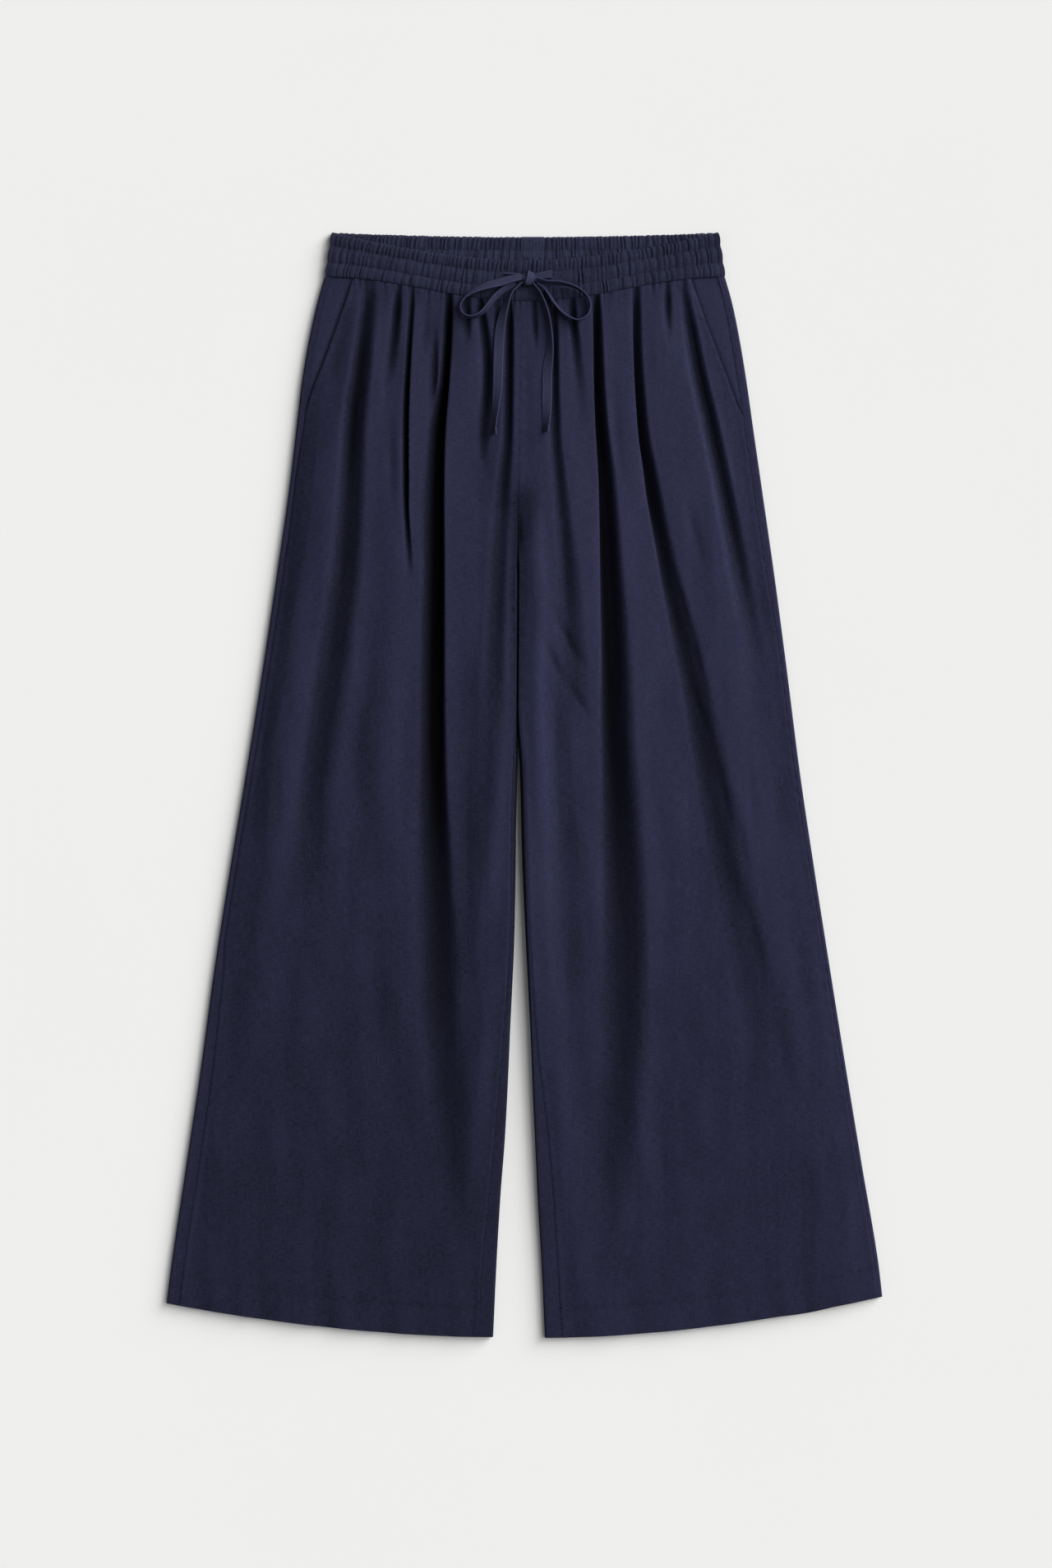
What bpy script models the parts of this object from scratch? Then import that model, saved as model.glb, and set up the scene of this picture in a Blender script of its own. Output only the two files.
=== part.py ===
"""Wide-leg linen trousers with a gathered drawstring waistband, laid flat with the front up.

Every cut piece is one closed wall of cloth in an object of its own: two fronts, two backs, the
two hip pieces behind the slanted pockets, the two halves of the waistband, and the flat tape of
the drawstring tied in a bow. The backs lie on the floor and roll round the side and the inner
leg onto the front, where the seams show. The fronts lie on them in soft folds and pleats that
start in the gathers of the waist and die away towards the hem.

Frame: X runs across the waist, Y from the hem to the waist, Z up. The origin is the middle of
the underside. Sizes are in millimetres until a point is placed. "down" is the distance below
the top of the waist, and "out" the distance from the centre line towards a side seam.
"""

import math
from typing import NamedTuple

import bmesh
import bpy
import numpy as np
from mathutils import Vector

MM = 0.001

# ---- Driving dimensions, in millimetres --------------------------------------------------------

LENGTH = 1050.0            # top of the waist to the lowest point of the hem
CLOTH = 1.2                # wall of one layer of cloth
SEAM_GAP = 0.3             # clearance between pieces where they are sewn

WAIST_HALF_TOP = 184.0     # half width of the relaxed waistband at its top edge
WAIST_HALF_BOTTOM = 190.5  # and at the waist seam
BAND_SIDE_HEIGHT = 43.3    # waist seam below the top of the waist, at the sides
SEAM_DIP = 23.0            # how much lower the front waist seam is at the centre
FRONT_DIP = 26.9           # how much lower the front band's top edge is at the centre
BACK_DIP = 4.2             # the same for the back band
BACK_SEAM_DIP = 3.0        # the same for the back waist seam

ROLL_HEIGHT = 7.0          # height of the back cloth where it rolls onto the front
ROLL_REACH = 1.8           # how far the same roll bows out sideways
CREASE_FLOOR = 2.9         # lowest a front fold's outer face goes
MOUTH_LIFT = 0.8           # how far the pocket mouth stands above the seam beside it
FACING_UNDERLAP = 5.0      # how far the pocket facing goes in under the mouth
WAIST_SEAM_HEIGHT = 7.4    # outer face of the fronts where they meet the band

CROTCH_NOTCH = 266.0       # down to where the centre front seam is closed
INNER_ROLL = (278.0, 302.0)  # the backs curl round the inner legs between these, below the crotch

FRONT_COLUMNS = 45         # points across each front
COLUMN_CROWDING = 0.7      # how strongly they gather in the folds
BACK_SPANS = 5             # flat steps across each back, between its two rolls
CURL_STEPS = 5             # steps round the inner end of each back
FLAT_END = 3.0             # the same end's length where it lies flat

# ---- Tables ------------------------------------------------------------------------------------


class Edge(NamedTuple):
    """One station of an edge: how far down, and how far out on each side."""
    down: float
    left: float
    right: float


class Knot(NamedTuple):
    """One station of a fold's trough: its place, depth and half widths to each side."""
    down: float
    out: float
    depth: float
    outer: float
    inner: float


class Tape(NamedTuple):
    """One station of the drawstring: its place, height above the cloth, turn and width."""
    across: float
    down: float
    rise: float
    tilt: float
    width: float


OUTLINE = [
    Edge(43, 190.5, 189.7), Edge(68, 197.5, 196.7), Edge(107, 206.0, 204.5),
    Edge(146, 212.4, 210.8), Edge(185, 217.0, 216.3), Edge(244, 224.0, 224.8),
    Edge(326, 235.8, 236.6), Edge(420, 249.8, 249.0), Edge(513, 264.7, 260.8),
    Edge(607, 280.3, 274.8), Edge(701, 295.0, 289.6), Edge(794, 307.6, 304.5),
    Edge(888, 321.7, 320.0), Edge(982, 335.7, 335.7), Edge(1018, 340.3, 339.8),
]
INNER_LEG = [
    Edge(66, 3.4, -3.4), Edge(190, 5.8, -5.8), Edge(303, 7.0, -6.4), Edge(451, 7.9, -7.2),
    Edge(513, 9.4, -2.9), Edge(576, 10.9, -1.2), Edge(660, 11.4, 1.3), Edge(748, 13.9, 4.6),
    Edge(817, 16.8, 7.2), Edge(865, 19.5, 9.4), Edge(915, 23.4, 11.7), Edge(982, 27.3, 15.6),
    Edge(1049, 30.4, 18.7),
]
SIDE_LIP = [
    Edge(43, 7.0, 7.0), Edge(120, 7.5, 8.0), Edge(180, 6.5, 8.0), Edge(240, 4.5, 8.0),
    Edge(300, 5.5, 7.8), Edge(380, 5.5, 5.0), Edge(560, 5.2, 4.5), Edge(670, 5.2, 3.2),
    Edge(710, 8.8, 3.2), Edge(880, 11.4, 3.2), Edge(1018, 11.4, 3.2),
]
INNER_LIP = [
    Edge(300, 2.2, 2.2), Edge(640, 2.2, 2.2), Edge(700, 3.5, 3.2), Edge(770, 6.3, 5.5),
    Edge(850, 9.4, 11.7), Edge(930, 11.4, 14.8), Edge(1000, 13.5, 15.0), Edge(1049, 13.5, 16.0),
]
POCKET_MOUTH = [
    Edge(44, 163.0, 157.0), Edge(88, 178.3, 172.5), Edge(124, 191.5, 186.0),
    Edge(156, 204.0, 198.0), Edge(178, 210.0, 206.5),
]
HEM_LOW = {"left": 1049.0, "right": 1049.7}   # lowest point of each hem, at the inner leg
HEM_RISE = {"left": 32.0, "right": 39.0}      # how much higher each hem is at the side
HEM_CURVE = 1.8

CROWN = [
    (43, WAIST_SEAM_HEIGHT), (62, 9.6), (90, 12.0), (140, 13.8), (210, 14.6), (300, 14.2),
    (400, 13.2), (520, 12.0), (650, 10.8), (780, 9.8), (900, 9.0), (1000, 8.5), (1050, 8.2),
]
ROW_DOWNS = (66, 76, 92, 116, 148, 186, 228, CROTCH_NOTCH, 278, 286, 294, 302, 356, 451, 513,
             586, 680, 780, 880, 968, 1049)

LEFT_FOLDS = {
    "pocket hollow": [
        Knot(45, 147, 2.0, 8, 8), Knot(90, 152, 5.0, 10, 12), Knot(131, 157, 8.0, 12, 14),
        Knot(185, 163, 8.0, 14, 15), Knot(287, 169, 6.0, 16, 18), Knot(404, 183, 5.0, 20, 22),
        Knot(560, 207, 2.0, 20, 26), Knot(650, 222, 0.0, 20, 30)],
    "hip gather": [
        Knot(50, 120, 3.0, 5, 5), Knot(75, 122, 4.5, 6, 6), Knot(107, 125, 3.0, 7, 7),
        Knot(150, 131, 0.0, 8, 8)],
    "side pleat": [
        Knot(45, 107, 2.5, 3, 4), Knot(117, 109, 6.0, 4, 5), Knot(178, 111, 9.5, 5, 6),
        Knot(240, 111, 8.5, 5, 6), Knot(285, 110, 4.0, 4, 5), Knot(330, 110, 0.0, 4, 5)],
    "pleat dimple": [
        Knot(85, 85, 0.0, 4, 4), Knot(131, 86, 3.0, 6, 5), Knot(185, 88, 0.0, 6, 5)],
    "deep fold": [
        Knot(45, 73, 3.5, 4, 6), Knot(64, 73, 6.0, 4, 7), Knot(132, 75, 10.0, 6, 8),
        Knot(192, 79, 12.0, 16, 9), Knot(267, 82, 12.5, 18, 11), Knot(356, 83, 11.5, 19, 12),
        Knot(480, 84, 9.0, 22, 13), Knot(600, 83, 6.0, 24, 17), Knot(717, 82, 3.6, 24, 24),
        Knot(873, 70, 1.6, 18, 22), Knot(960, 62, 0.0, 16, 20)],
    "waist gather": [
        Knot(52, 56, 2.5, 4, 4), Knot(75, 55, 4.0, 5, 5), Knot(110, 54, 0.0, 5, 5)],
    "bow gather": [
        Knot(55, 44, 3.0, 4, 4), Knot(80, 41, 5.0, 6, 6), Knot(131, 36, 5.0, 7, 7),
        Knot(185, 39, 3.0, 8, 7), Knot(225, 41, 0.0, 8, 7)],
    "tail gather": [
        Knot(60, 27, 2.5, 4, 4), Knot(80, 27, 3.0, 4, 4), Knot(115, 27, 0.0, 4, 4)],
    "centre fold": [
        Knot(60, 15, 4.0, 5, 4), Knot(90, 15, 6.0, 6, 5), Knot(185, 16, 5.0, 8, 6),
        Knot(248, 21, 4.0, 11, 9), Knot(326, 26, 4.5, 13, 11), Knot(404, 28, 4.0, 15, 12),
        Knot(482, 32, 2.5, 16, 14), Knot(580, 38, 0.0, 16, 14)],
}
RIGHT_FOLDS = {
    "centre gather": [
        Knot(62, 8, 3.0, 4, 4), Knot(85, 9, 3.0, 4, 4), Knot(115, 10, 0.0, 4, 4)],
    "centre fold": [
        Knot(62, 27, 4.0, 5, 5), Knot(107, 27, 5.0, 6, 6), Knot(185, 28, 4.0, 7, 7),
        Knot(248, 33, 3.2, 9, 9), Knot(326, 40, 3.8, 12, 11), Knot(404, 44, 2.4, 14, 13),
        Knot(470, 47, 0.0, 14, 13)],
    "waist gather": [
        Knot(55, 45, 4.0, 4, 4), Knot(80, 45, 6.0, 5, 5), Knot(110, 47, 3.5, 6, 5),
        Knot(150, 50, 1.2, 6, 6), Knot(190, 52, 0.0, 6, 6)],
    "deep fold": [
        Knot(45, 67, 4.0, 4, 4), Knot(64, 67, 7.0, 5, 5), Knot(124, 67, 9.5, 8, 6),
        Knot(178, 69, 12.0, 10, 8), Knot(237, 73, 12.5, 14, 9), Knot(327, 77, 12.0, 18, 12),
        Knot(404, 80, 10.5, 22, 14), Knot(482, 83, 9.0, 24, 18), Knot(560, 87, 7.5, 26, 21),
        Knot(716, 94, 4.4, 26, 28), Knot(872, 83, 2.0, 26, 22), Knot(960, 72, 0.0, 20, 20)],
    "side pleat": [
        Knot(45, 105, 4.0, 5, 4), Knot(117, 103, 7.5, 9, 4), Knot(183, 106, 9.5, 12, 5),
        Knot(240, 116, 8.5, 13, 8), Knot(327, 133, 6.5, 15, 12), Knot(404, 152, 5.5, 18, 16),
        Knot(560, 182, 3.5, 24, 20), Knot(716, 219, 1.2, 20, 26), Knot(790, 236, 0.0, 20, 26)],
    "hip gather": [
        Knot(48, 135, 2.5, 4, 4), Knot(70, 135, 3.5, 5, 5), Knot(105, 136, 0.0, 5, 5)],
    "pocket hollow": [
        Knot(46, 149, 2.0, 5, 5), Knot(70, 153, 4.0, 7, 7), Knot(92, 157, 6.0, 8, 9),
        Knot(131, 164, 7.0, 9, 11), Knot(185, 176, 7.5, 10, 12), Knot(248, 189, 7.0, 11, 13),
        Knot(326, 205, 4.5, 11, 15), Knot(370, 214, 2.5, 10, 16), Knot(430, 228, 0.0, 10, 18)],
}
LEANING_FOLDS = ("deep fold", "side pleat")   # their inner crest hangs out over the trough
LEAN = [(45, 0.15), (110, 0.45), (190, 0.60), (420, 0.55), (600, 0.30), (760, 0.0)]


class Leg(NamedTuple):
    """One side of the garment: its name, direction along X, and its folds."""
    name: str
    sign: int
    folds: dict


LEGS = (Leg("left", -1, LEFT_FOLDS), Leg("right", 1, RIGHT_FOLDS))

# The waistband: three sewn channels between the top edge and the waist seam.
GATHERS_FRONT = 66
GATHERS_BACK = 62
BAND_ROWS = (0.0, 0.15, 0.31, 0.50, 0.68, 0.85, 1.0)
BAND_PUFF = (0.2, 1.0, 0.2, 1.0, 0.2, 0.9, 0.0)
BAND_ROUND = 6.0           # length over which the band turns round at each side
BACK_BAND_STITCH = 2.9     # height of the back band's inner face on a line of stitches
BACK_BAND_PUFF = 0.7       # and how much higher a channel stands
FRONT_BAND_UNDER = 4.8     # underside of the front band, above the back band
FRONT_BAND_STITCH = 7.4    # height of the front band on a line of stitches
FRONT_BAND_PUFF = 1.3      # and how much higher a channel stands
GATHER_HEIGHT = 0.55       # half the height of one gather
BAND_TOP = 9.25            # nothing of the front band is higher

# The drawstring: a flat tape, tied in a bow over the waist seam.
TAPE_THICK = 1.3
TAPE_CLEAR = 0.3           # clearance of the tape over the cloth
KNOT_ACROSS = 2.3
KNOT_DOWN = 44.9
KNOT_SIZE = (15.5, 12.5, 8.0)
KNOT_WAIST = 0.12          # how much narrower the knot is in its middle
KNOT_WAIST_SPAN = 0.35     # and over how much of its half width

LOOP_LEFT = [
    Tape(-6.2, 44.2, 3.2, 20, 6.0), Tape(-14.0, 46.2, 4.0, 22, 7.5),
    Tape(-22.6, 48.8, 3.9, 22, 8.5), Tape(-35.1, 51.9, 3.0, 28, 9.0),
    Tape(-47.6, 56.6, 1.6, 45, 9.0), Tape(-57.8, 63.6, 0.6, 65, 9.0),
    Tape(-61.9, 72.0, 0.0, 75, 9.0), Tape(-58.8, 79.2, 0.0, 78, 9.0),
    Tape(-51.0, 82.0, 0.0, 75, 9.0), Tape(-43.0, 79.2, 0.0, 70, 9.0),
    Tape(-36.0, 72.5, 0.0, 60, 9.0), Tape(-30.6, 65.4, 0.0, 55, 8.5),
    Tape(-23.0, 57.8, 0.0, 40, 7.0), Tape(-15.5, 53.0, 0.0, 25, 6.0),
]
LOOP_RIGHT = [
    Tape(10.4, 46.0, 2.2, 40, 6.0), Tape(20.3, 49.0, 2.4, 55, 7.5),
    Tape(32.8, 49.6, 1.8, 60, 9.0), Tape(45.3, 52.7, 1.2, 68, 9.0),
    Tape(55.4, 58.9, 0.6, 74, 9.0), Tape(61.4, 69.1, 0.0, 78, 9.0),
    Tape(59.0, 79.5, 0.0, 78, 9.0), Tape(50.7, 84.3, 0.0, 76, 9.0),
    Tape(42.0, 81.6, 0.0, 72, 9.0), Tape(33.6, 75.3, 0.0, 66, 9.0),
    Tape(27.4, 67.5, 0.0, 62, 8.5), Tape(22.4, 59.7, 0.6, 66, 7.5),
    Tape(17.6, 53.4, 1.2, 70, 6.0),
]
TAIL_LEFT = [
    Tape(-6.6, 51.2, 1.0, 66, 6.0), Tape(-13.4, 58.6, 0.6, 68, 7.5),
    Tape(-17.4, 68.0, 0.2, 62, 9.0), Tape(-21.6, 82.0, 0.0, 38, 9.5),
    Tape(-24.2, 98.0, 0.0, 14, 9.5), Tape(-25.4, 121.4, 0.0, 4, 9.5),
    Tape(-26.0, 145.6, 0.0, 4, 9.5), Tape(-28.0, 170.0, 0.0, 24, 9.5),
    Tape(-29.0, 193.2, 0.0, 34, 9.5),
]
TAIL_RIGHT = [
    Tape(8.0, 51.6, 1.0, 66, 6.0), Tape(13.6, 59.4, 0.6, 68, 7.5),
    Tape(18.8, 71.4, 0.2, 68, 9.0), Tape(22.6, 86.3, 0.0, 66, 9.5),
    Tape(23.6, 108.9, 0.0, 48, 9.5), Tape(21.2, 133.1, 0.0, 10, 9.5),
    Tape(20.7, 158.1, 0.0, 4, 9.5), Tape(19.8, 190.9, 0.0, 4, 9.5),
]
LEAD_LEFT = [Tape(-19.0, 41.4, 0.0, 0, 6.0), Tape(-12.0, 42.2, 0.0, 0, 6.0),
             Tape(-4.9, 43.2, 0.0, 0, 5.0)]
LEAD_RIGHT = [Tape(26.0, 40.6, 0.0, 0, 7.5), Tape(17.5, 41.6, 0.0, 0, 6.0),
              Tape(9.3, 43.0, 0.0, 0, 5.0)]

LINEN = (0.025, 0.027, 0.055, 1.0)         # mid navy
LINEN_TAPE = (0.036, 0.038, 0.070, 1.0)    # the tape reads a little lighter

# ---- Curves ------------------------------------------------------------------------------------


def smooth_through(pairs):
    """A function that runs smoothly through (position, value) pairs without overshooting."""
    places = np.array([pair[0] for pair in pairs], float)
    values = np.array([pair[1] for pair in pairs], float)
    steps = np.diff(places)
    slopes = np.diff(values) / steps
    tangents = np.zeros(len(values))
    tangents[0] = slopes[0]
    tangents[-1] = slopes[-1]
    before = slopes[:-1]
    after = slopes[1:]
    climbs_on = before * after > 0
    total = np.where(climbs_on, before + after, 1.0)
    tangents[1:-1] = np.where(climbs_on, 2 * before * after / total, 0.0)

    def value(place):
        place = np.clip(place, places[0], places[-1])
        left = np.clip(np.searchsorted(places, place) - 1, 0, len(steps) - 1)
        t = (place - places[left]) / steps[left]
        rise = t * t * (3 - 2 * t)
        start_pull = t * (1 - t) ** 2 * steps[left] * tangents[left]
        end_pull = t * t * (1 - t) * steps[left] * tangents[left + 1]
        return values[left] + rise * (values[left + 1] - values[left]) + start_pull - end_pull

    return value


def edge_curve(table, leg):
    """An edge table as a smooth function of the distance down."""
    return smooth_through([(row.down, getattr(row, leg.name)) for row in table])


def knot_curve(knots, column):
    """One column of a fold as a smooth function of the distance down."""
    return smooth_through([(knot.down, getattr(knot, column)) for knot in knots])


def ease(t):
    """0 to 1 with level ends."""
    t = np.clip(t, 0.0, 1.0)
    return t * t * (3 - 2 * t)


def bell(t):
    """1 in the middle, 0 from 1 outwards."""
    return 0.5 + 0.5 * np.cos(math.pi * np.clip(np.abs(t), 0.0, 1.0))


crown_height = smooth_through(CROWN)
lean_amount = smooth_through(LEAN)


def front_seam(across):
    """Distance down to the front waist seam."""
    return BAND_SIDE_HEIGHT + SEAM_DIP * bell(across / WAIST_HALF_BOTTOM)


def back_seam(across):
    """Distance down to the back waist seam."""
    return BAND_SIDE_HEIGHT + BACK_SEAM_DIP * bell(across / WAIST_HALF_BOTTOM)


def hem(leg, out):
    """Distance down to the hem of one leg."""
    inside = edge_curve(INNER_LEG, leg)(LENGTH)
    outside = edge_curve(OUTLINE, leg)(LENGTH)
    share = np.clip((out - inside) / (outside - inside), 0.0, 1.0)
    return HEM_LOW[leg.name] - HEM_RISE[leg.name] * share ** HEM_CURVE


def place(leg, out, down, height):
    """Points in metres from distances out, down and up."""
    out, down, height = np.broadcast_arrays(out, down, height)
    return np.stack([leg.sign * out, LENGTH / 2 - down, height], axis=-1) * MM


# ---- Seams and rows ----------------------------------------------------------------------------


def inner_seam(leg, down):
    """Centre front seam above the crotch, inner leg seam below it."""
    middle = edge_curve(INNER_LEG, leg)(down)
    return middle + edge_curve(INNER_LIP, leg)(down) * ease((down - CROTCH_NOTCH) / 11.0)


def side_seam(leg, down):
    """Side seam, where the back's lip meets the front or the pocket facing."""
    return edge_curve(OUTLINE, leg)(down) - edge_curve(SIDE_LIP, leg)(down)


def row_down(leg, share, fraction):
    """Distance down along a row, share of the way from the waist seam to the hem.

    fraction is 0 at the inner seam and 1 at the side seam.
    """
    first, last = ROW_DOWNS[0], ROW_DOWNS[-1]
    waist_inner = inner_seam(leg, first)
    hem_inner = inner_seam(leg, last)
    at_waist = waist_inner + (side_seam(leg, BAND_SIDE_HEIGHT) - waist_inner) * fraction
    at_hem = hem_inner + (side_seam(leg, last) - hem_inner) * fraction
    top = front_seam(at_waist) + SEAM_GAP / 2
    return top + (hem(leg, at_hem) - top) * share


def row_seams(leg, share):
    """Places of the inner seam and the side seam on a row."""
    inner = inner_seam(leg, row_down(leg, share, 0.0))
    side = side_seam(leg, row_down(leg, share, 1.0))
    return inner, side


def row_shares():
    """Each row's share of the way from the waist seam to the hem."""
    first, last = ROW_DOWNS[0], ROW_DOWNS[-1]
    return [(down - first) / (last - first) for down in ROW_DOWNS]


def mouth_fraction(leg, share):
    """Where a front ends on a row: at the pocket mouth, or at the side seam below its end."""
    inner, side = row_seams(leg, share)
    fraction = 1.0
    for _ in range(4):
        down = row_down(leg, share, fraction)
        closed = ease((down - POCKET_MOUTH[-1].down + 12.0) / 12.0)
        mouth = edge_curve(POCKET_MOUTH, leg)(down) * (1 - closed) + side * closed
        fraction = min(1.0, (mouth - inner) / (side - inner))
    return fraction


# ---- Fronts ------------------------------------------------------------------------------------


def fold_profile(knots, out, down):
    """How far into a fold's trough a place is, 0 to 1, and the fold's depth there."""
    offset = out - knot_curve(knots, "out")(down)
    outer = knot_curve(knots, "outer")(down)
    inner = knot_curve(knots, "inner")(down)
    share = offset / np.where(offset > 0, outer, inner)
    inside = (down > knots[0].down - 30) & (down < knots[-1].down)
    return bell(share) * inside, knot_curve(knots, "depth")(down)


def waist_share(out, down):
    """1 at the front waist seam, easing to 0 a little below it."""
    return 1 - ease((down - front_seam(out)) / 24.0)


def mouth_height(leg, out, down):
    """Height of a front's outer edge: the pocket mouth, or the side seam below it."""
    edge = ROLL_HEIGHT + MOUTH_LIFT * (1 - ease((down - 165.0) / 20.0))
    return edge + (WAIST_SEAM_HEIGHT - edge) * waist_share(out, down)


def front_height(leg, out, down, inner_edge, outer_edge):
    """Height of a front's outer face: a crowned sheet with the folds' troughs in it."""
    at_legs = ease((down - 225.0) / 70.0)
    inner_rise = 1 - at_legs * (1 - ease((out - inner_edge) / 22.0))
    outer_rise = ease((outer_edge - out) / 40.0)
    at_waist = waist_share(out, down)
    edge_height = mouth_height(leg, out, down)
    height = edge_height + (crown_height(down) - edge_height) * inner_rise * outer_rise
    for knots in leg.folds.values():
        profile, depth = fold_profile(knots, out, down)
        fade = 1 - 0.55 * at_waist
        height = height - profile * depth * fade
    floor = CREASE_FLOOR + (WAIST_SEAM_HEIGHT - 1.4 - CREASE_FLOOR) * at_waist
    softness = 0.5
    return floor + softness * np.logaddexp(0.0, (height - floor) / softness)


def front_lean(leg, out, down):
    """How far a face leans outwards for each millimetre that it stands above the seams."""
    lean = np.zeros(np.broadcast(out, down).shape)
    for name in LEANING_FOLDS:
        knots = leg.folds[name]
        reach = knot_curve(knots, "inner")(down)
        crest = knot_curve(knots, "out")(down) - reach
        fade = ease(knot_curve(knots, "depth")(down) / 6.0)
        lean = lean + lean_amount(down) * fade * bell((out - crest) / (reach + 12.0))
    return lean


def front_fractions(leg, share, seams):
    """Places of a front's columns across one row, closer together where the folds are."""
    half_gap = SEAM_GAP / 2 / (seams[1] - seams[0])
    fractions = np.linspace(half_gap, mouth_fraction(leg, share) - half_gap, 401)
    down = row_down(leg, share, fractions)
    out = seams[0] + (seams[1] - seams[0]) * fractions
    crowding = np.ones(len(fractions))
    for knots in leg.folds.values():
        profile, depth = fold_profile(knots, out, down)
        crowding = crowding + np.sqrt(profile) * np.clip(depth, 0.0, 6.0) * COLUMN_CROWDING
    total = np.concatenate([[0.0], np.cumsum((crowding[1:] + crowding[:-1]) / 2)])
    return np.interp(np.linspace(0.0, total[-1], FRONT_COLUMNS), total, fractions)


def front_grids(leg):
    """Outer and inner faces of a front, as grids of points from the waist to the hem."""
    outer_face = []
    inner_face = []
    for share in row_shares():
        seams = row_seams(leg, share)
        fractions = front_fractions(leg, share, seams)
        out = seams[0] + (seams[1] - seams[0]) * fractions
        down = row_down(leg, share, fractions)
        height = front_height(leg, out, down, seams[0], out[-1])
        lean = front_lean(leg, out, down)
        sheared = out + lean * (height - ROLL_HEIGHT)
        stretch = np.hypot(np.gradient(sheared, out), np.gradient(height, out))
        under = height - CLOTH * np.clip(stretch, 1.0, 2.2)
        under = np.maximum(under, CLOTH + SEAM_GAP)
        outer_face.append(place(leg, sheared, down, height))
        inner_face.append(place(leg, out + lean * (under - ROLL_HEIGHT), down, under))
    return np.array(outer_face), np.array(inner_face)


# ---- Backs -------------------------------------------------------------------------------------


def curled_end(edge, rolled, offset):
    """The last points of a back's face where its end is flat or only partly curled up."""
    middle_reach = ROLL_REACH - CLOTH / 2
    turned = math.pi * max(rolled, 0.001)
    length = FLAT_END + (math.pi * middle_reach - FLAT_END) * rolled
    bend = length / turned
    taller = 1 + ((ROLL_HEIGHT - CLOTH) / (2 * middle_reach) - 1) * rolled
    start = edge + math.sin(min(turned, math.pi / 2)) * (bend + CLOTH / 2)
    points = []
    for step in range(CURL_STEPS + 1):
        angle = turned * step / CURL_STEPS
        rise = CLOTH / 2 + bend * (1 - math.cos(angle)) * taller - offset * math.cos(angle)
        points.append((start - (bend + offset) * math.sin(angle), rise))
    return points


def rolled_section(leg, share, rolled):
    """A back's outer and inner face across one row, from the side lip to the inner lip.

    rolled is 0 where the back ends flat at the centre back seam, 1 where it rolls right round the
    inner leg, and between them where it starts to curl up below the crotch.
    """
    inner_down = row_down(leg, share, 0.0)
    side_down = row_down(leg, share, 1.0)
    middle = edge_curve(INNER_LEG, leg)(inner_down)
    inner_end = inner_seam(leg, inner_down) - SEAM_GAP / 2
    side_end = side_seam(leg, side_down) + SEAM_GAP / 2
    side_centre = edge_curve(OUTLINE, leg)(side_down) - ROLL_REACH
    inner_centre = middle + ROLL_REACH
    turns = np.radians(np.linspace(90.0, -90.0, 5))

    def path(offset):
        reach = ROLL_REACH - CLOTH / 2 + offset
        rise = ROLL_HEIGHT / 2 - CLOTH / 2 + offset
        top = ROLL_HEIGHT / 2 + rise
        low = ROLL_HEIGHT / 2 - rise
        side_arc = [(side_centre + reach * math.cos(turn), ROLL_HEIGHT / 2 + rise * math.sin(turn))
                    for turn in turns]
        flat = [(side_centre + (inner_centre - side_centre) * n / BACK_SPANS, low)
                for n in range(1, BACK_SPANS)]
        if rolled > 0.99:
            curl = [(inner_centre - reach * math.cos(turn),
                     ROLL_HEIGHT / 2 + rise * math.sin(turn)) for turn in turns[::-1]]
            curl.append((inner_end, top))
        else:
            curl = curled_end(middle + SEAM_GAP / 2, rolled, offset)
        return np.array([(side_end, top)] + side_arc + flat + curl)

    return path(CLOTH / 2), path(-CLOTH / 2)


def back_grids(leg):
    """Outer and inner faces of a back, from the waist to the hem."""
    outer_face = []
    inner_face = []
    for share, row in zip(row_shares(), ROW_DOWNS):
        seams = row_seams(leg, share)
        rolled = np.clip((row - INNER_ROLL[0]) / (INNER_ROLL[1] - INNER_ROLL[0]), 0.0, 1.0)
        outer, inner = rolled_section(leg, share, rolled)
        higher = 1 - ease(share / 0.2)
        for section, rows in ((outer, outer_face), (inner, inner_face)):
            out = section[:, 0]
            fraction = (out - seams[0]) / (seams[1] - seams[0])
            down = row_down(leg, share, fraction)
            down = down - (front_seam(out) - back_seam(out)) * higher
            rows.append(place(leg, out, down, section[:, 1]))
    return np.array(outer_face), np.array(inner_face)


# ---- Pocket facings ----------------------------------------------------------------------------


def facing_grids(leg):
    """The hip piece behind the slanted mouth, from the waist seam to the mouth's end."""
    last_share = (POCKET_MOUTH[-1].down - 8.0 - BAND_SIDE_HEIGHT) / (LENGTH - BAND_SIDE_HEIGHT)
    outer_face = []
    inner_face = []
    for share in np.linspace(0.0, last_share, 9):
        inner, side = row_seams(leg, share)
        width = side - inner
        start = mouth_fraction(leg, share) - FACING_UNDERLAP / width
        fraction = np.linspace(start, 1 - SEAM_GAP / 2 / width, 6)
        out = inner + width * fraction
        down = row_down(leg, share, fraction)
        height = mouth_height(leg, out, down) - CLOTH - SEAM_GAP - 0.1
        outer_face.append(place(leg, out, down, height))
        inner_face.append(place(leg, out, down, height - CLOTH))
    return np.array(outer_face), np.array(inner_face)


# ---- Waistband ---------------------------------------------------------------------------------


def band_columns(gathers):
    """Places along a band, -1 to 1: a crest and a dip for each gather, closer at the ends."""
    last = 1 - 0.8 / WAIST_HALF_TOP
    body = np.linspace(-last, last, 2 * gathers + 1)
    return np.concatenate([[-1.0], body, [1.0]])


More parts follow.
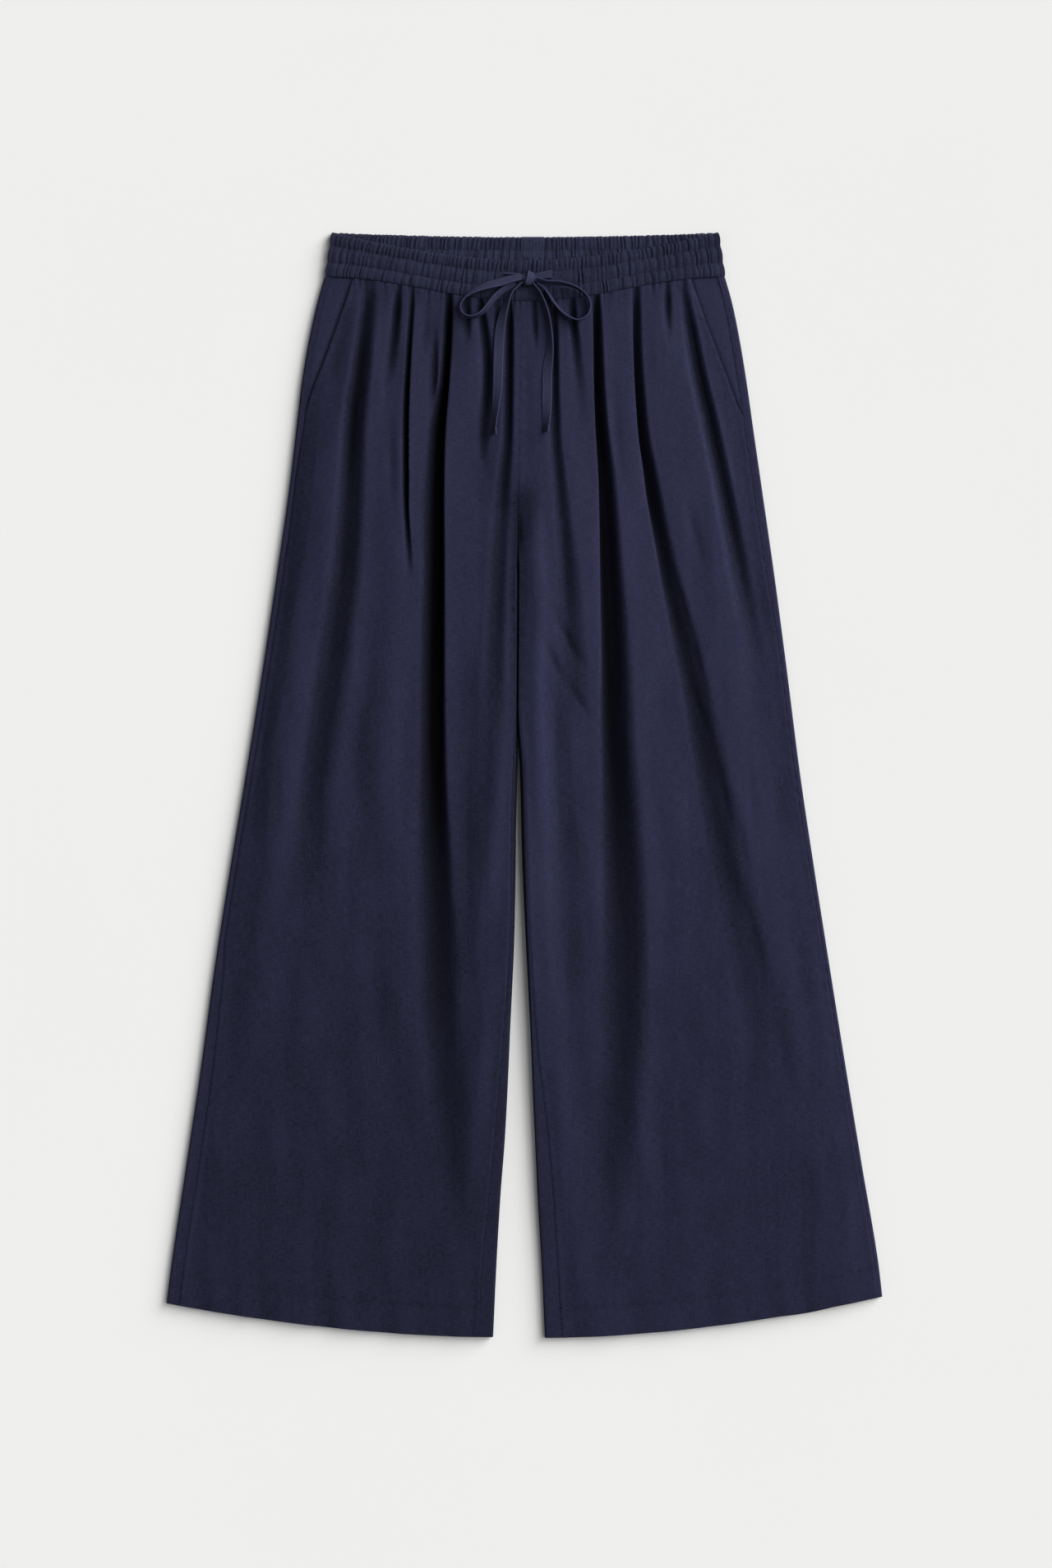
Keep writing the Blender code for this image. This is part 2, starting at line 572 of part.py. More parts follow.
def gathered_face(columns, top_edge, bottom_edge, stitch_height, puff_height, seed):
    """The gathered face of one half of the waistband as rows of across, down and height."""
    jitter = np.random.default_rng(seed)
    sign = np.where(np.arange(len(columns)) % 2 == 0, 1.0, -1.0)
    rows = []
    for fraction, puff in zip(BAND_ROWS, BAND_PUFF):
        half = WAIST_HALF_TOP + (WAIST_HALF_BOTTOM - WAIST_HALF_TOP) * fraction
        across = columns * (half - 0.8 + 0.8 * puff)
        down = top_edge(across) + (bottom_edge(across) - top_edge(across)) * fraction
        strength = 0.45 + 0.55 * puff
        ripple = GATHER_HEIGHT * strength * sign * jitter.uniform(0.5, 1.0, len(columns))
        height = stitch_height + puff_height * puff + ripple
        rows.append(np.stack([across, down, height], axis=-1))
    return np.array(rows)


def end_turn(across):
    """1 along a band, falling as a quarter circle to 0 at its ends."""
    t = np.clip((np.abs(across) - WAIST_HALF_TOP + BAND_ROUND) / (BAND_ROUND + 6.5), 0.0, 1.0)
    return np.sqrt(1 - t * t)


def to_metres(grid):
    """Rows of across, down and height as points in metres."""
    return np.stack([grid[..., 0], LENGTH / 2 - grid[..., 1], grid[..., 2]], axis=-1) * MM


def front_band():
    """The front half: gathered outside, plain underneath, dipping at the centre."""

    def top_edge(across):
        share = np.clip(np.abs(across) / WAIST_HALF_TOP, 0.0, 1.0)
        return FRONT_DIP * (1 - share ** 1.7)

    def bottom_edge(across):
        return front_seam(across) - SEAM_GAP / 2

    columns = band_columns(GATHERS_FRONT)
    face = gathered_face(columns, top_edge, bottom_edge, FRONT_BAND_STITCH, FRONT_BAND_PUFF, 5)
    thin_end = FRONT_BAND_UNDER + 0.9
    face[..., 2] = thin_end + (face[..., 2] - thin_end) * end_turn(face[..., 0])
    plain = face[[0, -1]].copy()
    plain[..., 2] = FRONT_BAND_UNDER
    return to_metres(face), to_metres(plain)


def back_band():
    """The back half: flat where it lies on the floor, its gathered inner face upwards."""

    def top_edge(across):
        share = np.clip(np.abs(across) / WAIST_HALF_TOP, 0.0, 1.0)
        return BACK_DIP * (1 - share ** 2)

    def bottom_edge(across):
        return back_seam(across) - SEAM_GAP / 2

    columns = band_columns(GATHERS_BACK)
    face = gathered_face(columns, top_edge, bottom_edge, BACK_BAND_STITCH, BACK_BAND_PUFF, 9)
    plain = face[[0, -1]].copy()
    plain[..., 2] = (BACK_BAND_STITCH - 1.1) * (1 - end_turn(plain[..., 0]))
    return to_metres(face), to_metres(plain)


# ---- Drawstring --------------------------------------------------------------------------------


def cloth_height(across, down):
    """Highest cloth under a small patch round a place."""
    highest = 0.0
    for step_across in (-6.0, -3.0, 0.0, 3.0, 6.0):
        for step_down in (-4.0, 0.0, 4.0):
            here = across + step_across
            below = down + step_down
            if below < front_seam(here) + 2.0:
                highest = max(highest, BAND_TOP)
                continue
            leg = LEGS[0] if here < -5.8 else LEGS[1]
            inner_edge = inner_seam(leg, below)
            outer_edge = side_seam(leg, below)
            height = front_height(leg, leg.sign * here, below, inner_edge, outer_edge)
            highest = max(highest, float(height))
    return highest


def smooth_route(rows, steps_each):
    """Stations read off a smooth curve through the route's rows."""
    table = np.array(rows, float)
    ends = np.vstack([2 * table[0] - table[1], table, 2 * table[-1] - table[-2]])
    stations = []
    for index in range(1, len(ends) - 2):
        a, b, c, d = ends[index - 1:index + 3]
        for step in range(steps_each):
            t = step / steps_each
            point = (2 * b + (c - a) * t + (2 * a - 5 * b + 4 * c - d) * t * t
                     + (3 * b - a - 3 * c + d) * t ** 3) / 2
            stations.append(point)
    stations.append(table[-1])
    return np.array(stations)


def tape_grids(route, steps_each=2):
    """Upper and lower faces of a stretch of tape that lies over the cloth."""
    stations = smooth_route(route, steps_each)
    tilt = np.radians(stations[:, 3])
    half_width = stations[:, 4] / 2
    half_tall = half_width * np.abs(np.sin(tilt)) + TAPE_THICK / 2 * np.cos(tilt)
    cloth = np.array([cloth_height(row[0], row[1]) for row in stations])
    centre = cloth + TAPE_CLEAR + half_tall + stations[:, 2]
    padded = np.concatenate([centre[:1], centre, centre[-1:]])
    centre = np.maximum(centre, (padded[:-2] + padded[1:-1] + padded[2:]) / 3)
    points = np.stack([stations[:, 0], -stations[:, 1], centre], axis=-1)
    along = np.gradient(points, axis=0)
    upper = []
    lower = []
    for point, direction, angle, half in zip(points, along, tilt, half_width):
        direction = Vector(direction).normalized()
        level = Vector((0, 0, 1)).cross(direction).normalized()
        normal = direction.cross(level).normalized()
        width = level * math.cos(angle) + normal * math.sin(angle)
        thick = normal * math.cos(angle) - level * math.sin(angle)
        upper.append([Vector(point) + width * half + thick * TAPE_THICK / 2,
                      Vector(point) - width * half + thick * TAPE_THICK / 2])
        lower.append([Vector(point) + width * half - thick * TAPE_THICK / 2,
                      Vector(point) - width * half - thick * TAPE_THICK / 2])
    shift = np.array([0.0, LENGTH / 2, 0.0])
    return (np.array(upper) + shift) * MM, (np.array(lower) + shift) * MM


# ---- Meshes ------------------------------------------------------------------------------------


def grid_triangles(rows, columns, first, flipped):
    """Triangles over a grid of vertices that starts at index first."""
    triangles = []
    for row in range(rows - 1):
        for column in range(columns - 1):
            a = first + row * columns + column
            b, c, d = a + 1, a + columns + 1, a + columns
            pair = [(a, b, c), (a, c, d)]
            if flipped:
                pair = [tuple(reversed(triangle)) for triangle in pair]
            triangles += pair
    return triangles


def rim(rows, columns, first):
    """Indices round the border of a grid, as a closed path."""
    top = [first + column for column in range(columns)]
    right = [first + row * columns + columns - 1 for row in range(1, rows)]
    bottom = [first + (rows - 1) * columns + column for column in range(columns - 2, -1, -1)]
    left = [first + row * columns for row in range(rows - 2, 0, -1)]
    return top + right + bottom + left


def closed_wall(face, back):
    """Vertices and faces of the closed wall between two grids of the same size."""
    rows, columns = face.shape[:2]
    count = rows * columns
    vertices = np.concatenate([face.reshape(-1, 3), back.reshape(-1, 3)])
    faces = grid_triangles(rows, columns, 0, False)
    faces += grid_triangles(rows, columns, count, True)
    border = rim(rows, columns, 0)
    for here, there in zip(border, border[1:] + border[:1]):
        faces.append((there, here, here + count, there + count))
    return vertices, faces


def plain_backed_wall(face, plain):
    """A wall with a detailed face and a back that only has points along its two long edges."""
    rows, columns = face.shape[:2]
    count = rows * columns
    vertices = np.concatenate([face.reshape(-1, 3), plain.reshape(-1, 3)])
    faces = grid_triangles(rows, columns, 0, False)
    last_row = count - columns
    for column in range(columns - 1):
        top, low = count + column, count + columns + column
        faces.append((top, low, low + 1, top + 1))
        faces.append((column + 1, column, top, top + 1))
        faces.append((last_row + column, last_row + column + 1, low + 1, low))
    starts = [row * columns for row in range(rows)]
    faces.append(tuple(starts[::-1] + [count, count + columns]))
    ends = [start + columns - 1 for start in starts]
    faces.append(tuple(ends + [count + 2 * columns - 1, count + columns - 1]))
    return vertices, faces


def cloth_material(name, colour, roughness):
    """A matt woven finish."""
    material = bpy.data.materials.new(name)
    material.use_nodes = True
    shader = material.node_tree.nodes["Principled BSDF"]
    shader.inputs["Base Color"].default_value = colour
    shader.inputs["Roughness"].default_value = roughness
    shader.inputs["Metallic"].default_value = 0.0
    material.diffuse_color = colour
    return material


def add_solid(name, vertices, faces, colour):
    """A named object from a closed shape, with its faces pointing out."""
    mesh = bpy.data.meshes.new(name)
    mesh.from_pydata([tuple(vertex) for vertex in vertices], [], faces)
    shape = bmesh.new()
    shape.from_mesh(mesh)
    bmesh.ops.recalc_face_normals(shape, faces=shape.faces)
    shape.to_mesh(mesh)
    shape.free()
    mesh.shade_smooth()
    mesh.set_sharp_from_angle(angle=math.radians(50))
    mesh.materials.append(cloth_material(name + "_linen", colour, 0.85))
    solid = bpy.data.objects.new(name, mesh)
    bpy.context.scene.collection.objects.link(solid)
    return solid


def add_knot():
    """The bow's knot: a rounded wrap of tape, wider than it is tall, waisted in the middle."""
    segments, rings = 14, 8
    half = np.array(KNOT_SIZE) / 2
    centre = np.array([KNOT_ACROSS, LENGTH / 2 - KNOT_DOWN,
                       BAND_TOP + TAPE_CLEAR + half[2]])
    shape = bmesh.new()
    bmesh.ops.create_uvsphere(shape, u_segments=segments, v_segments=rings, radius=1.0)
    for vertex in shape.verts:
        waist = 1 - KNOT_WAIST * math.exp(-(vertex.co.x / KNOT_WAIST_SPAN) ** 2)
        scaled = np.array(vertex.co) * half * np.array([1.0, waist, 1.0])
        vertex.co = Vector((centre + scaled) * MM)
    mesh = bpy.data.meshes.new("drawstring_knot")
    shape.to_mesh(mesh)
    shape.free()
    mesh.shade_smooth()
    mesh.materials.append(cloth_material("drawstring_knot_linen", LINEN_TAPE, 0.8))
    knot = bpy.data.objects.new("drawstring_knot", mesh)
    bpy.context.scene.collection.objects.link(knot)


def main():
    """Builds every piece of the garment."""
    for thing in list(bpy.data.objects):
        bpy.data.objects.remove(thing, do_unlink=True)
    for leg in LEGS:
        outer, inner = front_grids(leg)
        add_solid(f"front_panel_{leg.name}", *closed_wall(outer, inner), LINEN)
        outer, inner = back_grids(leg)
        add_solid(f"back_panel_{leg.name}", *closed_wall(outer, inner), LINEN)
        outer, inner = facing_grids(leg)
        add_solid(f"pocket_facing_{leg.name}", *closed_wall(outer, inner), LINEN)
    add_solid("waistband_front", *plain_backed_wall(*front_band()), LINEN)
    add_solid("waistband_back", *plain_backed_wall(*back_band()), LINEN)
    routes = {
        "drawstring_loop_left": LOOP_LEFT, "drawstring_loop_right": LOOP_RIGHT,
        "drawstring_tail_left": TAIL_LEFT, "drawstring_tail_right": TAIL_RIGHT,
        "drawstring_lead_left": LEAD_LEFT, "drawstring_lead_right": LEAD_RIGHT,
    }
    for name, route in routes.items():
        add_solid(name, *closed_wall(*tape_grids(route)), LINEN_TAPE)
    add_knot()


main()
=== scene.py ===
"""Looks of the wide-leg linen trousers that lie flat with the front up.

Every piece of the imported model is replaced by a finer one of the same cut: creased and gathered
cloth, seams, rows of stitches, buttonholes and the flat tape tied in a bow. The cut, the folds and
the tape's course are the same as in the model, so each fine piece lies where its plain one does.

Frame: X runs across the waist, Y from the hem to the waist, Z up. Tables are in millimetres.
"down" is the distance below the top of the waist, "out" the distance from the centre line.
"""

import math
from typing import NamedTuple

import bmesh
import bpy
import numpy as np
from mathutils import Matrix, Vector


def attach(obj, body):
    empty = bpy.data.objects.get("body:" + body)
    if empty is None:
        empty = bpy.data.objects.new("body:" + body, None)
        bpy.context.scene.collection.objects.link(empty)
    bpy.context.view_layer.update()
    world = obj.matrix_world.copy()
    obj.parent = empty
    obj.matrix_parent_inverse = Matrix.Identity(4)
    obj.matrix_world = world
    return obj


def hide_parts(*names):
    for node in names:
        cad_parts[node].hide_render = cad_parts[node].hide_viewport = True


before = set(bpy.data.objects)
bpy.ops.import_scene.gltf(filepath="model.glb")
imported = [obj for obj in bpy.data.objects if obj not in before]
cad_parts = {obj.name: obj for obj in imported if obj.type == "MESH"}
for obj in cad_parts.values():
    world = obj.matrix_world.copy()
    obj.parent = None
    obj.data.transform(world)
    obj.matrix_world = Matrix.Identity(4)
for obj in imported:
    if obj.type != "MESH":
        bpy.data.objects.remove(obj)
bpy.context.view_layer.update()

MM = 0.001

# ---- Cut, as in the model ----------------------------------------------------------------------

LENGTH = 1050.0            # top of the waist to the lowest point of the hem
CLOTH = 1.2                # wall of one layer of cloth
SEAM_GAP = 0.04            # what is left between pieces where the thread pulls them together
WAIST_HALF_TOP = 184.0     # half width of the relaxed waistband at its top edge
WAIST_HALF_BOTTOM = 190.5  # and at the waist seam
BAND_SIDE_HEIGHT = 43.3    # waist seam below the top of the waist, at the sides
SEAM_DIP = 23.0            # how much lower the front waist seam is at the centre
FRONT_DIP = 26.9           # how much lower the front band's top edge is at the centre
BACK_DIP = 4.2             # the same for the back band
BACK_SEAM_DIP = 3.0        # the same for the back waist seam
ROLL_HEIGHT = 7.0          # height of the back cloth where it rolls onto the front
ROLL_REACH = 1.8           # how far the same roll bows out sideways
CREASE_FLOOR = 2.9         # lowest a front fold's outer face goes
MOUTH_LIFT = 0.8           # how far the pocket mouth stands above the seam beside it
FACING_UNDERLAP = 5.0      # how far the pocket facing goes in under the mouth
FACING_BEYOND = 3.0        # and how far down past the mouth's end
WAIST_SEAM_HEIGHT = 7.4    # outer face of the fronts where they meet the band
WAIST_DIP = 1.4            # deepest that a fold dips at the waist seam
WAIST_REACH = 24.0         # how far below it the waist seam still shapes the cloth
WAIST_HOLDS = 0.55         # share of a fold's depth that the waist seam takes away
MOUTH_SETTLES = (165.0, 185.0)   # the pocket mouth's edge comes down to the seam between these
CROWN_OUTER = 40.0         # width over which a leg rises from its side seam to its crown
CROWN_INNER = 22.0         # and from its inner leg seam
INNER_FALL = (225.0, 295.0)  # the crown comes down to the inner edges between these
LEAN_DEPTH = 6.0           # a fold as deep as this leans in full
LEAN_REACH = 12.0          # how far beyond a crest the lean fades out
INNER_ROLL = (278.0, 302.0)  # the backs curl round the inner legs between these
LEGS_PART = (292.0, 350.0)   # the fronts' inner edges draw apart between these
FLAT_END = 3.0             # length of a back's inner end where it lies flat
BACK_HEM_SHOWS = {"left": 0.4, "right": 1.9}  # how far the back hem shows below the front hem
BACK_HEM_OUT = 268.0       # and where it shows most, with the half width of that
BACK_HEM_HALF = 52.0
HEM_LOW = {"left": 1049.0, "right": 1049.7}   # lowest point of each hem, at the inner leg
HEM_RISE = {"left": 32.0, "right": 39.0}      # how much higher each hem is at the side
HEM_CURVE = 1.8
HEM_DEPTH = 28.0           # the hem's blind stitches are this far above its edge
ROWS_FIRST = 66.0          # down at the first and last row of a leg at its inner seam
ROWS_LAST = 1049.0

BACK_BAND_STITCH = 2.9     # height of the back band's inner face on a line of stitches
BACK_BAND_PUFF = 0.7
BACK_BAND_END = 1.1        # thickness to which the back band narrows at its ends
FRONT_BAND_UNDER = 4.8     # underside of the front band
FRONT_BAND_STITCH = 7.4    # height of the front band on a line of stitches
FRONT_BAND_PUFF = 1.3
BAND_TOP = 9.25            # nothing of the model's front band is higher
BAND_ROUND = 6.0           # length over which the band turns round at each side
STITCH_DRAW = 1.4          # how far the lines of stitches draw the band's ends in
CHANNELS = (0.0, 0.31, 0.68, 1.0)   # top edge, two lines of stitches and the waist seam

TAPE_THICK = 1.3
TAPE_CLEAR = 0.3
KNOT_ACROSS = 2.3
KNOT_DOWN = 44.9

# ---- Painted shade and highlight: above 0 the cloth is painted darker, below 0 paler -----------

# Painted light and shade: the left side is painted darker and the right paler, as if lit from the
# right.
SIDE_LIGHT_AND_SHADE = 0.09           # the cloth on the left is this much darker, on the right paler
# Painted highlight along the side of each leg, stronger on the right:
RIM_HIGHLIGHT = {"left": 0.22, "right": 0.40}   # how much paler the cloth is along the side
RIM_REACH = 28.0           # how far in from the side seam that goes on a front
# Painted shade at the crotch:
CROTCH_SHADE = {"left": (0.35, 0.0), "right": (0.9, 1.5)}   # how dark, and how far out
CROTCH_DOWN = 286.0
# Painted shade in the folds and hollows, painted highlight on the ridges:
OPEN_SHARE = 0.45          # how dark an open fold is beside a closed one
FOLD_WIDER = 1.25          # a fold's dark band is this much wider than its trough
FULL_DARK_DEPTH = 9.0      # a fold as deep as this is dark in full
BROAD_REACH = 38.0         # a place is proud or sunk beside the mean height within this reach
CRISP_REACH = 7.0
PALE_FADES = (480.0, 900.0)  # the ridges' paler tone fades out between these
# Painted shade in the dimples along the hem's blind stitches:
HEM_LINE_WIDTH = 0.9
HEM_LINE_SHADE = 0.18

# ---- Fineness ----------------------------------------------------------------------------------

FRONT_ROWS = 321
FRONT_COLUMNS = 229
BAND_COLUMNS = 761
BAND_ROWS = 45
BACK_ROWS = 201


class Edge(NamedTuple):
    """One station of an edge: how far down, and how far out on each side."""
    down: float
    left: float
    right: float


class Knot(NamedTuple):
    """One station of a fold's trough: its place, depth and half widths to each side."""
    down: float
    out: float
    depth: float
    outer: float
    inner: float


class Tape(NamedTuple):
    """One station of the drawstring: its place, height above the cloth, turn and width."""
    across: float
    down: float
    rise: float
    tilt: float
    width: float


class Ripple(NamedTuple):
    """A soft dent in a front, from one place to another; a bump where the depth is negative."""
    down: float
    out: float
    down_end: float
    out_end: float
    depth: float
    half: float


def as_rows(kind, table):
    """A table's rows as stations of one kind."""
    return [kind(*row) for row in table]


def as_folds(tables):
    """Each fold's name with its stations."""
    return {name: as_rows(Knot, table) for name, table in tables.items()}


OUTLINE = as_rows(Edge, [
    (43, 190.5, 189.7), (68, 197.5, 196.7), (107, 206.0, 204.5),
    (146, 212.4, 210.8), (185, 217.0, 216.3), (244, 224.0, 224.8),
    (326, 235.8, 236.6), (420, 249.8, 249.0), (513, 264.7, 260.8),
    (607, 280.3, 274.8), (701, 295.0, 289.6), (794, 307.6, 304.5),
    (888, 321.7, 320.0), (982, 335.7, 335.7), (1018, 340.3, 339.8),
])
INNER_LEG = as_rows(Edge, [
    (66, 3.4, -3.4), (190, 5.8, -5.8), (303, 7.0, -6.4), (451, 7.9, -7.2),
    (513, 9.4, -2.9), (576, 10.9, -1.2), (660, 11.4, 1.3), (748, 13.9, 4.6),
    (817, 16.8, 7.2), (865, 19.5, 9.4), (915, 23.4, 11.7), (982, 27.3, 15.6),
    (1049, 30.4, 18.7),
])
SIDE_LIP = as_rows(Edge, [
    (43, 7.0, 7.0), (120, 7.5, 8.0), (180, 6.5, 8.0), (240, 4.5, 8.0),
    (300, 5.5, 7.8), (380, 5.5, 5.0), (560, 5.2, 4.5), (670, 5.2, 3.2),
    (710, 8.8, 3.2), (880, 11.4, 3.2), (1018, 11.4, 3.2),
])
INNER_LIP = as_rows(Edge, [
    (300, 2.2, 2.2), (640, 2.2, 2.2), (700, 3.5, 3.2), (770, 6.3, 5.5),
    (850, 9.4, 11.7), (930, 11.4, 14.8), (1000, 13.5, 15.0), (1049, 13.5, 16.0),
])
INNER_LIFT = [             # how much higher the legs' inner edges stand where they press together
    (262, 0.0), (300, 4.8), (420, 7.5), (560, 9.4), (700, 7.6), (800, 5.0), (900, 2.9),
    (1000, 1.4), (1049, 0.8),
]
LEGS_PRESSED = [           # how far each leg bulges where the two press together
    (266, 0.0), (284, 0.45), (440, 0.45), (482, 1.4), (515, 2.0), (590, 2.2), (660, 1.4),
    (760, 0.0),
]
POCKET_MOUTH = as_rows(Edge, [
    (44, 163.0, 157.0), (88, 178.3, 172.5), (124, 191.5, 186.0),
    (156, 204.0, 198.0), (178, 210.0, 206.5),
])

CROWN = [
    (43, WAIST_SEAM_HEIGHT), (62, 9.6), (90, 12.0), (140, 13.8), (210, 14.6), (300, 14.2),
    (400, 13.2), (520, 12.0), (650, 10.8), (780, 9.8), (900, 9.0), (1000, 8.5), (1050, 8.2),
]
LEFT_FOLDS = as_folds({
    "pocket hollow": [
        (45, 147, 2.0, 8, 8), (90, 152, 5.0, 10, 12), (131, 157, 8.0, 12, 14),
        (185, 163, 8.0, 14, 15), (287, 169, 6.0, 16, 18), (404, 183, 5.0, 20, 22),
        (560, 207, 2.0, 20, 26), (650, 222, 0.0, 20, 30)],
    "hip gather": [
        (50, 120, 3.0, 5, 5), (75, 122, 4.5, 6, 6), (107, 125, 3.0, 7, 7),
        (150, 131, 0.0, 8, 8)],
    "side pleat": [
        (45, 107, 2.5, 3, 4), (117, 109, 6.0, 4, 5), (178, 111, 9.5, 5, 6),
        (240, 111, 8.5, 5, 6), (285, 110, 4.0, 4, 5), (330, 110, 0.0, 4, 5)],
    "pleat dimple": [
        (85, 85, 0.0, 4, 4), (131, 86, 3.0, 6, 5), (185, 88, 0.0, 6, 5)],
    "deep fold": [
        (45, 73, 3.5, 4, 6), (64, 73, 6.0, 4, 7), (132, 75, 10.0, 6, 8),
        (192, 79, 12.0, 16, 9), (267, 82, 12.5, 18, 11), (356, 83, 11.5, 19, 12),
        (480, 84, 9.0, 22, 13), (600, 83, 6.0, 24, 17), (717, 82, 3.6, 24, 24),
        (873, 70, 1.6, 18, 22), (960, 62, 0.0, 16, 20)],
    "waist gather": [
        (52, 56, 2.5, 4, 4), (75, 55, 4.0, 5, 5), (110, 54, 0.0, 5, 5)],
    "bow gather": [
        (55, 44, 3.0, 4, 4), (80, 41, 5.0, 6, 6), (131, 36, 5.0, 7, 7),
        (185, 39, 3.0, 8, 7), (225, 41, 0.0, 8, 7)],
    "tail gather": [
        (60, 27, 2.5, 4, 4), (80, 27, 3.0, 4, 4), (115, 27, 0.0, 4, 4)],
    "centre fold": [
        (60, 15, 4.0, 5, 4), (90, 15, 6.0, 6, 5), (185, 16, 5.0, 8, 6),
        (248, 21, 4.0, 11, 9), (326, 26, 4.5, 13, 11), (404, 28, 4.0, 15, 12),
        (482, 32, 2.5, 16, 14), (580, 38, 0.0, 16, 14)],
})
RIGHT_FOLDS = as_folds({
    "centre gather": [
        (62, 8, 3.0, 4, 4), (85, 9, 3.0, 4, 4), (115, 10, 0.0, 4, 4)],
    "centre fold": [
        (62, 27, 4.0, 5, 5), (107, 27, 5.0, 6, 6), (185, 28, 4.0, 7, 7),
        (248, 33, 3.2, 9, 9), (326, 40, 3.8, 12, 11), (404, 44, 2.4, 14, 13),
        (470, 47, 0.0, 14, 13)],
    "waist gather": [
        (55, 45, 4.0, 4, 4), (80, 45, 6.0, 5, 5), (110, 47, 3.5, 6, 5),
        (150, 50, 1.2, 6, 6), (190, 52, 0.0, 6, 6)],
    "deep fold": [
        (45, 67, 4.0, 4, 4), (64, 67, 7.0, 5, 5), (124, 67, 9.5, 8, 6),
        (178, 69, 12.0, 10, 8), (237, 73, 12.5, 14, 9), (327, 77, 12.0, 18, 12),
        (404, 80, 10.5, 22, 14), (482, 83, 9.0, 24, 18), (560, 87, 7.5, 26, 21),
        (716, 94, 4.4, 26, 28), (872, 83, 2.0, 26, 22), (960, 72, 0.0, 20, 20)],
    "side pleat": [
        (45, 105, 4.0, 5, 4), (117, 103, 7.5, 9, 4), (183, 106, 9.5, 12, 5),
        (240, 116, 8.5, 13, 8), (327, 133, 6.5, 15, 12), (404, 152, 5.5, 18, 16),
        (560, 182, 3.5, 24, 20), (716, 219, 1.2, 20, 26), (790, 236, 0.0, 20, 26)],
    "hip gather": [
        (48, 135, 2.5, 4, 4), (70, 135, 3.5, 5, 5), (105, 136, 0.0, 5, 5)],
    "pocket hollow": [
        (46, 149, 2.0, 5, 5), (70, 153, 4.0, 7, 7), (92, 157, 6.0, 8, 9),
        (131, 164, 7.0, 9, 11), (185, 176, 7.5, 10, 12), (248, 189, 7.0, 11, 13),
        (326, 205, 4.5, 11, 15), (370, 214, 2.5, 10, 16), (430, 228, 0.0, 10, 18)],
})
LEANING_FOLDS = ("deep fold", "side pleat")   # their inner crest hangs out over the trough
# The open folds get less painted shade.
OPEN_FOLDS = ("pocket hollow", "hip gather", "bow gather", "centre fold")   # less dark
LEAN = [(45, 0.15), (110, 0.45), (190, 0.60), (420, 0.55), (600, 0.30), (760, 0.0)]
LEFT_RIPPLES = as_rows(Ripple, [
    (157, 128, 275, 125, 0.9, 5), (373, 149, 609, 156, 0.8, 12),
    (226, 52, 470, 48, -0.8, 8), (300, 196, 420, 206, 0.7, 8),
    (60, 92, 130, 94, 0.8, 4), (118, 136, 200, 141, -0.7, 5),
    (430, 100, 700, 118, -0.6, 10), (560, 36, 760, 52, -0.6, 7),
    (600, 130, 860, 150, 0.5, 14), (700, 230, 960, 262, 0.5, 14),
])
RIGHT_RIPPLES = as_rows(Ripple, [
    (345, 22, 428, 60, 1.1, 5), (373, 11, 452, 49, 0.9, 5),
    (420, 40, 470, 62, 0.8, 4), (212, 105, 310, 130, 0.9, 5),
    (310, 138, 392, 160, 1.0, 4), (345, 150, 470, 178, 0.9, 5),
    (400, 146, 500, 182, 0.7, 4), (470, 172, 610, 208, 1.0, 6),
    (520, 196, 640, 216, 0.8, 5), (600, 200, 749, 236, 1.0, 8),
    (690, 226, 860, 262, 0.8, 9), (240, 150, 330, 172, 0.8, 5),
    (120, 84, 260, 92, 0.7, 5), (560, 60, 760, 78, -0.7, 8),
    (760, 120, 960, 140, 0.5, 14),
])


class Leg(NamedTuple):
    """One side of the garment: its name, direction along X, folds, ripples and seed."""
    name: str
    sign: int
    folds: dict
    ripples: list
    seed: int


LEGS = (Leg("left", -1, LEFT_FOLDS, LEFT_RIPPLES, 21),
        Leg("right", 1, RIGHT_FOLDS, RIGHT_RIPPLES, 34))

LOOP_LEFT = as_rows(Tape, [
    (-0.6, 43.8, 2.4, 14, 4.0), (-6.2, 44.6, 3.4, 20, 6.0),
    (-14.0, 46.2, 4.0, 22, 7.5), (-22.6, 48.8, 3.9, 26, 8.5),
    (-35.1, 51.9, 3.0, 40, 9.0), (-47.6, 56.6, 1.6, 60, 9.0),
    (-57.8, 63.6, 0.6, 75, 9.0),
    (-61.9, 72.0, 0.0, 81, 9.0), (-58.8, 79.2, 0.0, 83, 9.0),
    (-51.0, 82.0, 0.0, 80, 9.0), (-43.0, 79.2, 0.0, 74, 9.0),
    (-36.0, 72.5, 0.0, 66, 9.0), (-30.6, 65.4, 0.0, 60, 8.5),
    (-23.0, 57.8, 0.0, 46, 7.0), (-15.5, 53.0, 0.0, 30, 6.0),
    (-8.8, 49.6, 0.2, 16, 4.0),
])
LOOP_RIGHT = as_rows(Tape, [
    (10.4, 46.0, 2.2, 50, 6.0), (20.3, 49.0, 2.4, 68, 7.5),
    (32.8, 49.6, 1.8, 75, 9.0), (45.3, 52.7, 1.2, 80, 9.0),
    (55.4, 58.9, 0.6, 83, 9.0), (61.4, 69.1, 0.0, 84, 9.0),
    (59.0, 79.5, 0.0, 84, 9.0), (50.7, 84.3, 0.0, 83, 9.0),
    (42.0, 81.6, 0.0, 81, 9.0), (33.6, 75.3, 0.0, 78, 9.0),
    (27.4, 67.5, 0.0, 76, 8.5), (22.4, 59.7, 0.6, 76, 7.5),
    (17.6, 53.4, 1.2, 72, 6.0), (12.2, 49.4, 1.0, 50, 4.0),
])
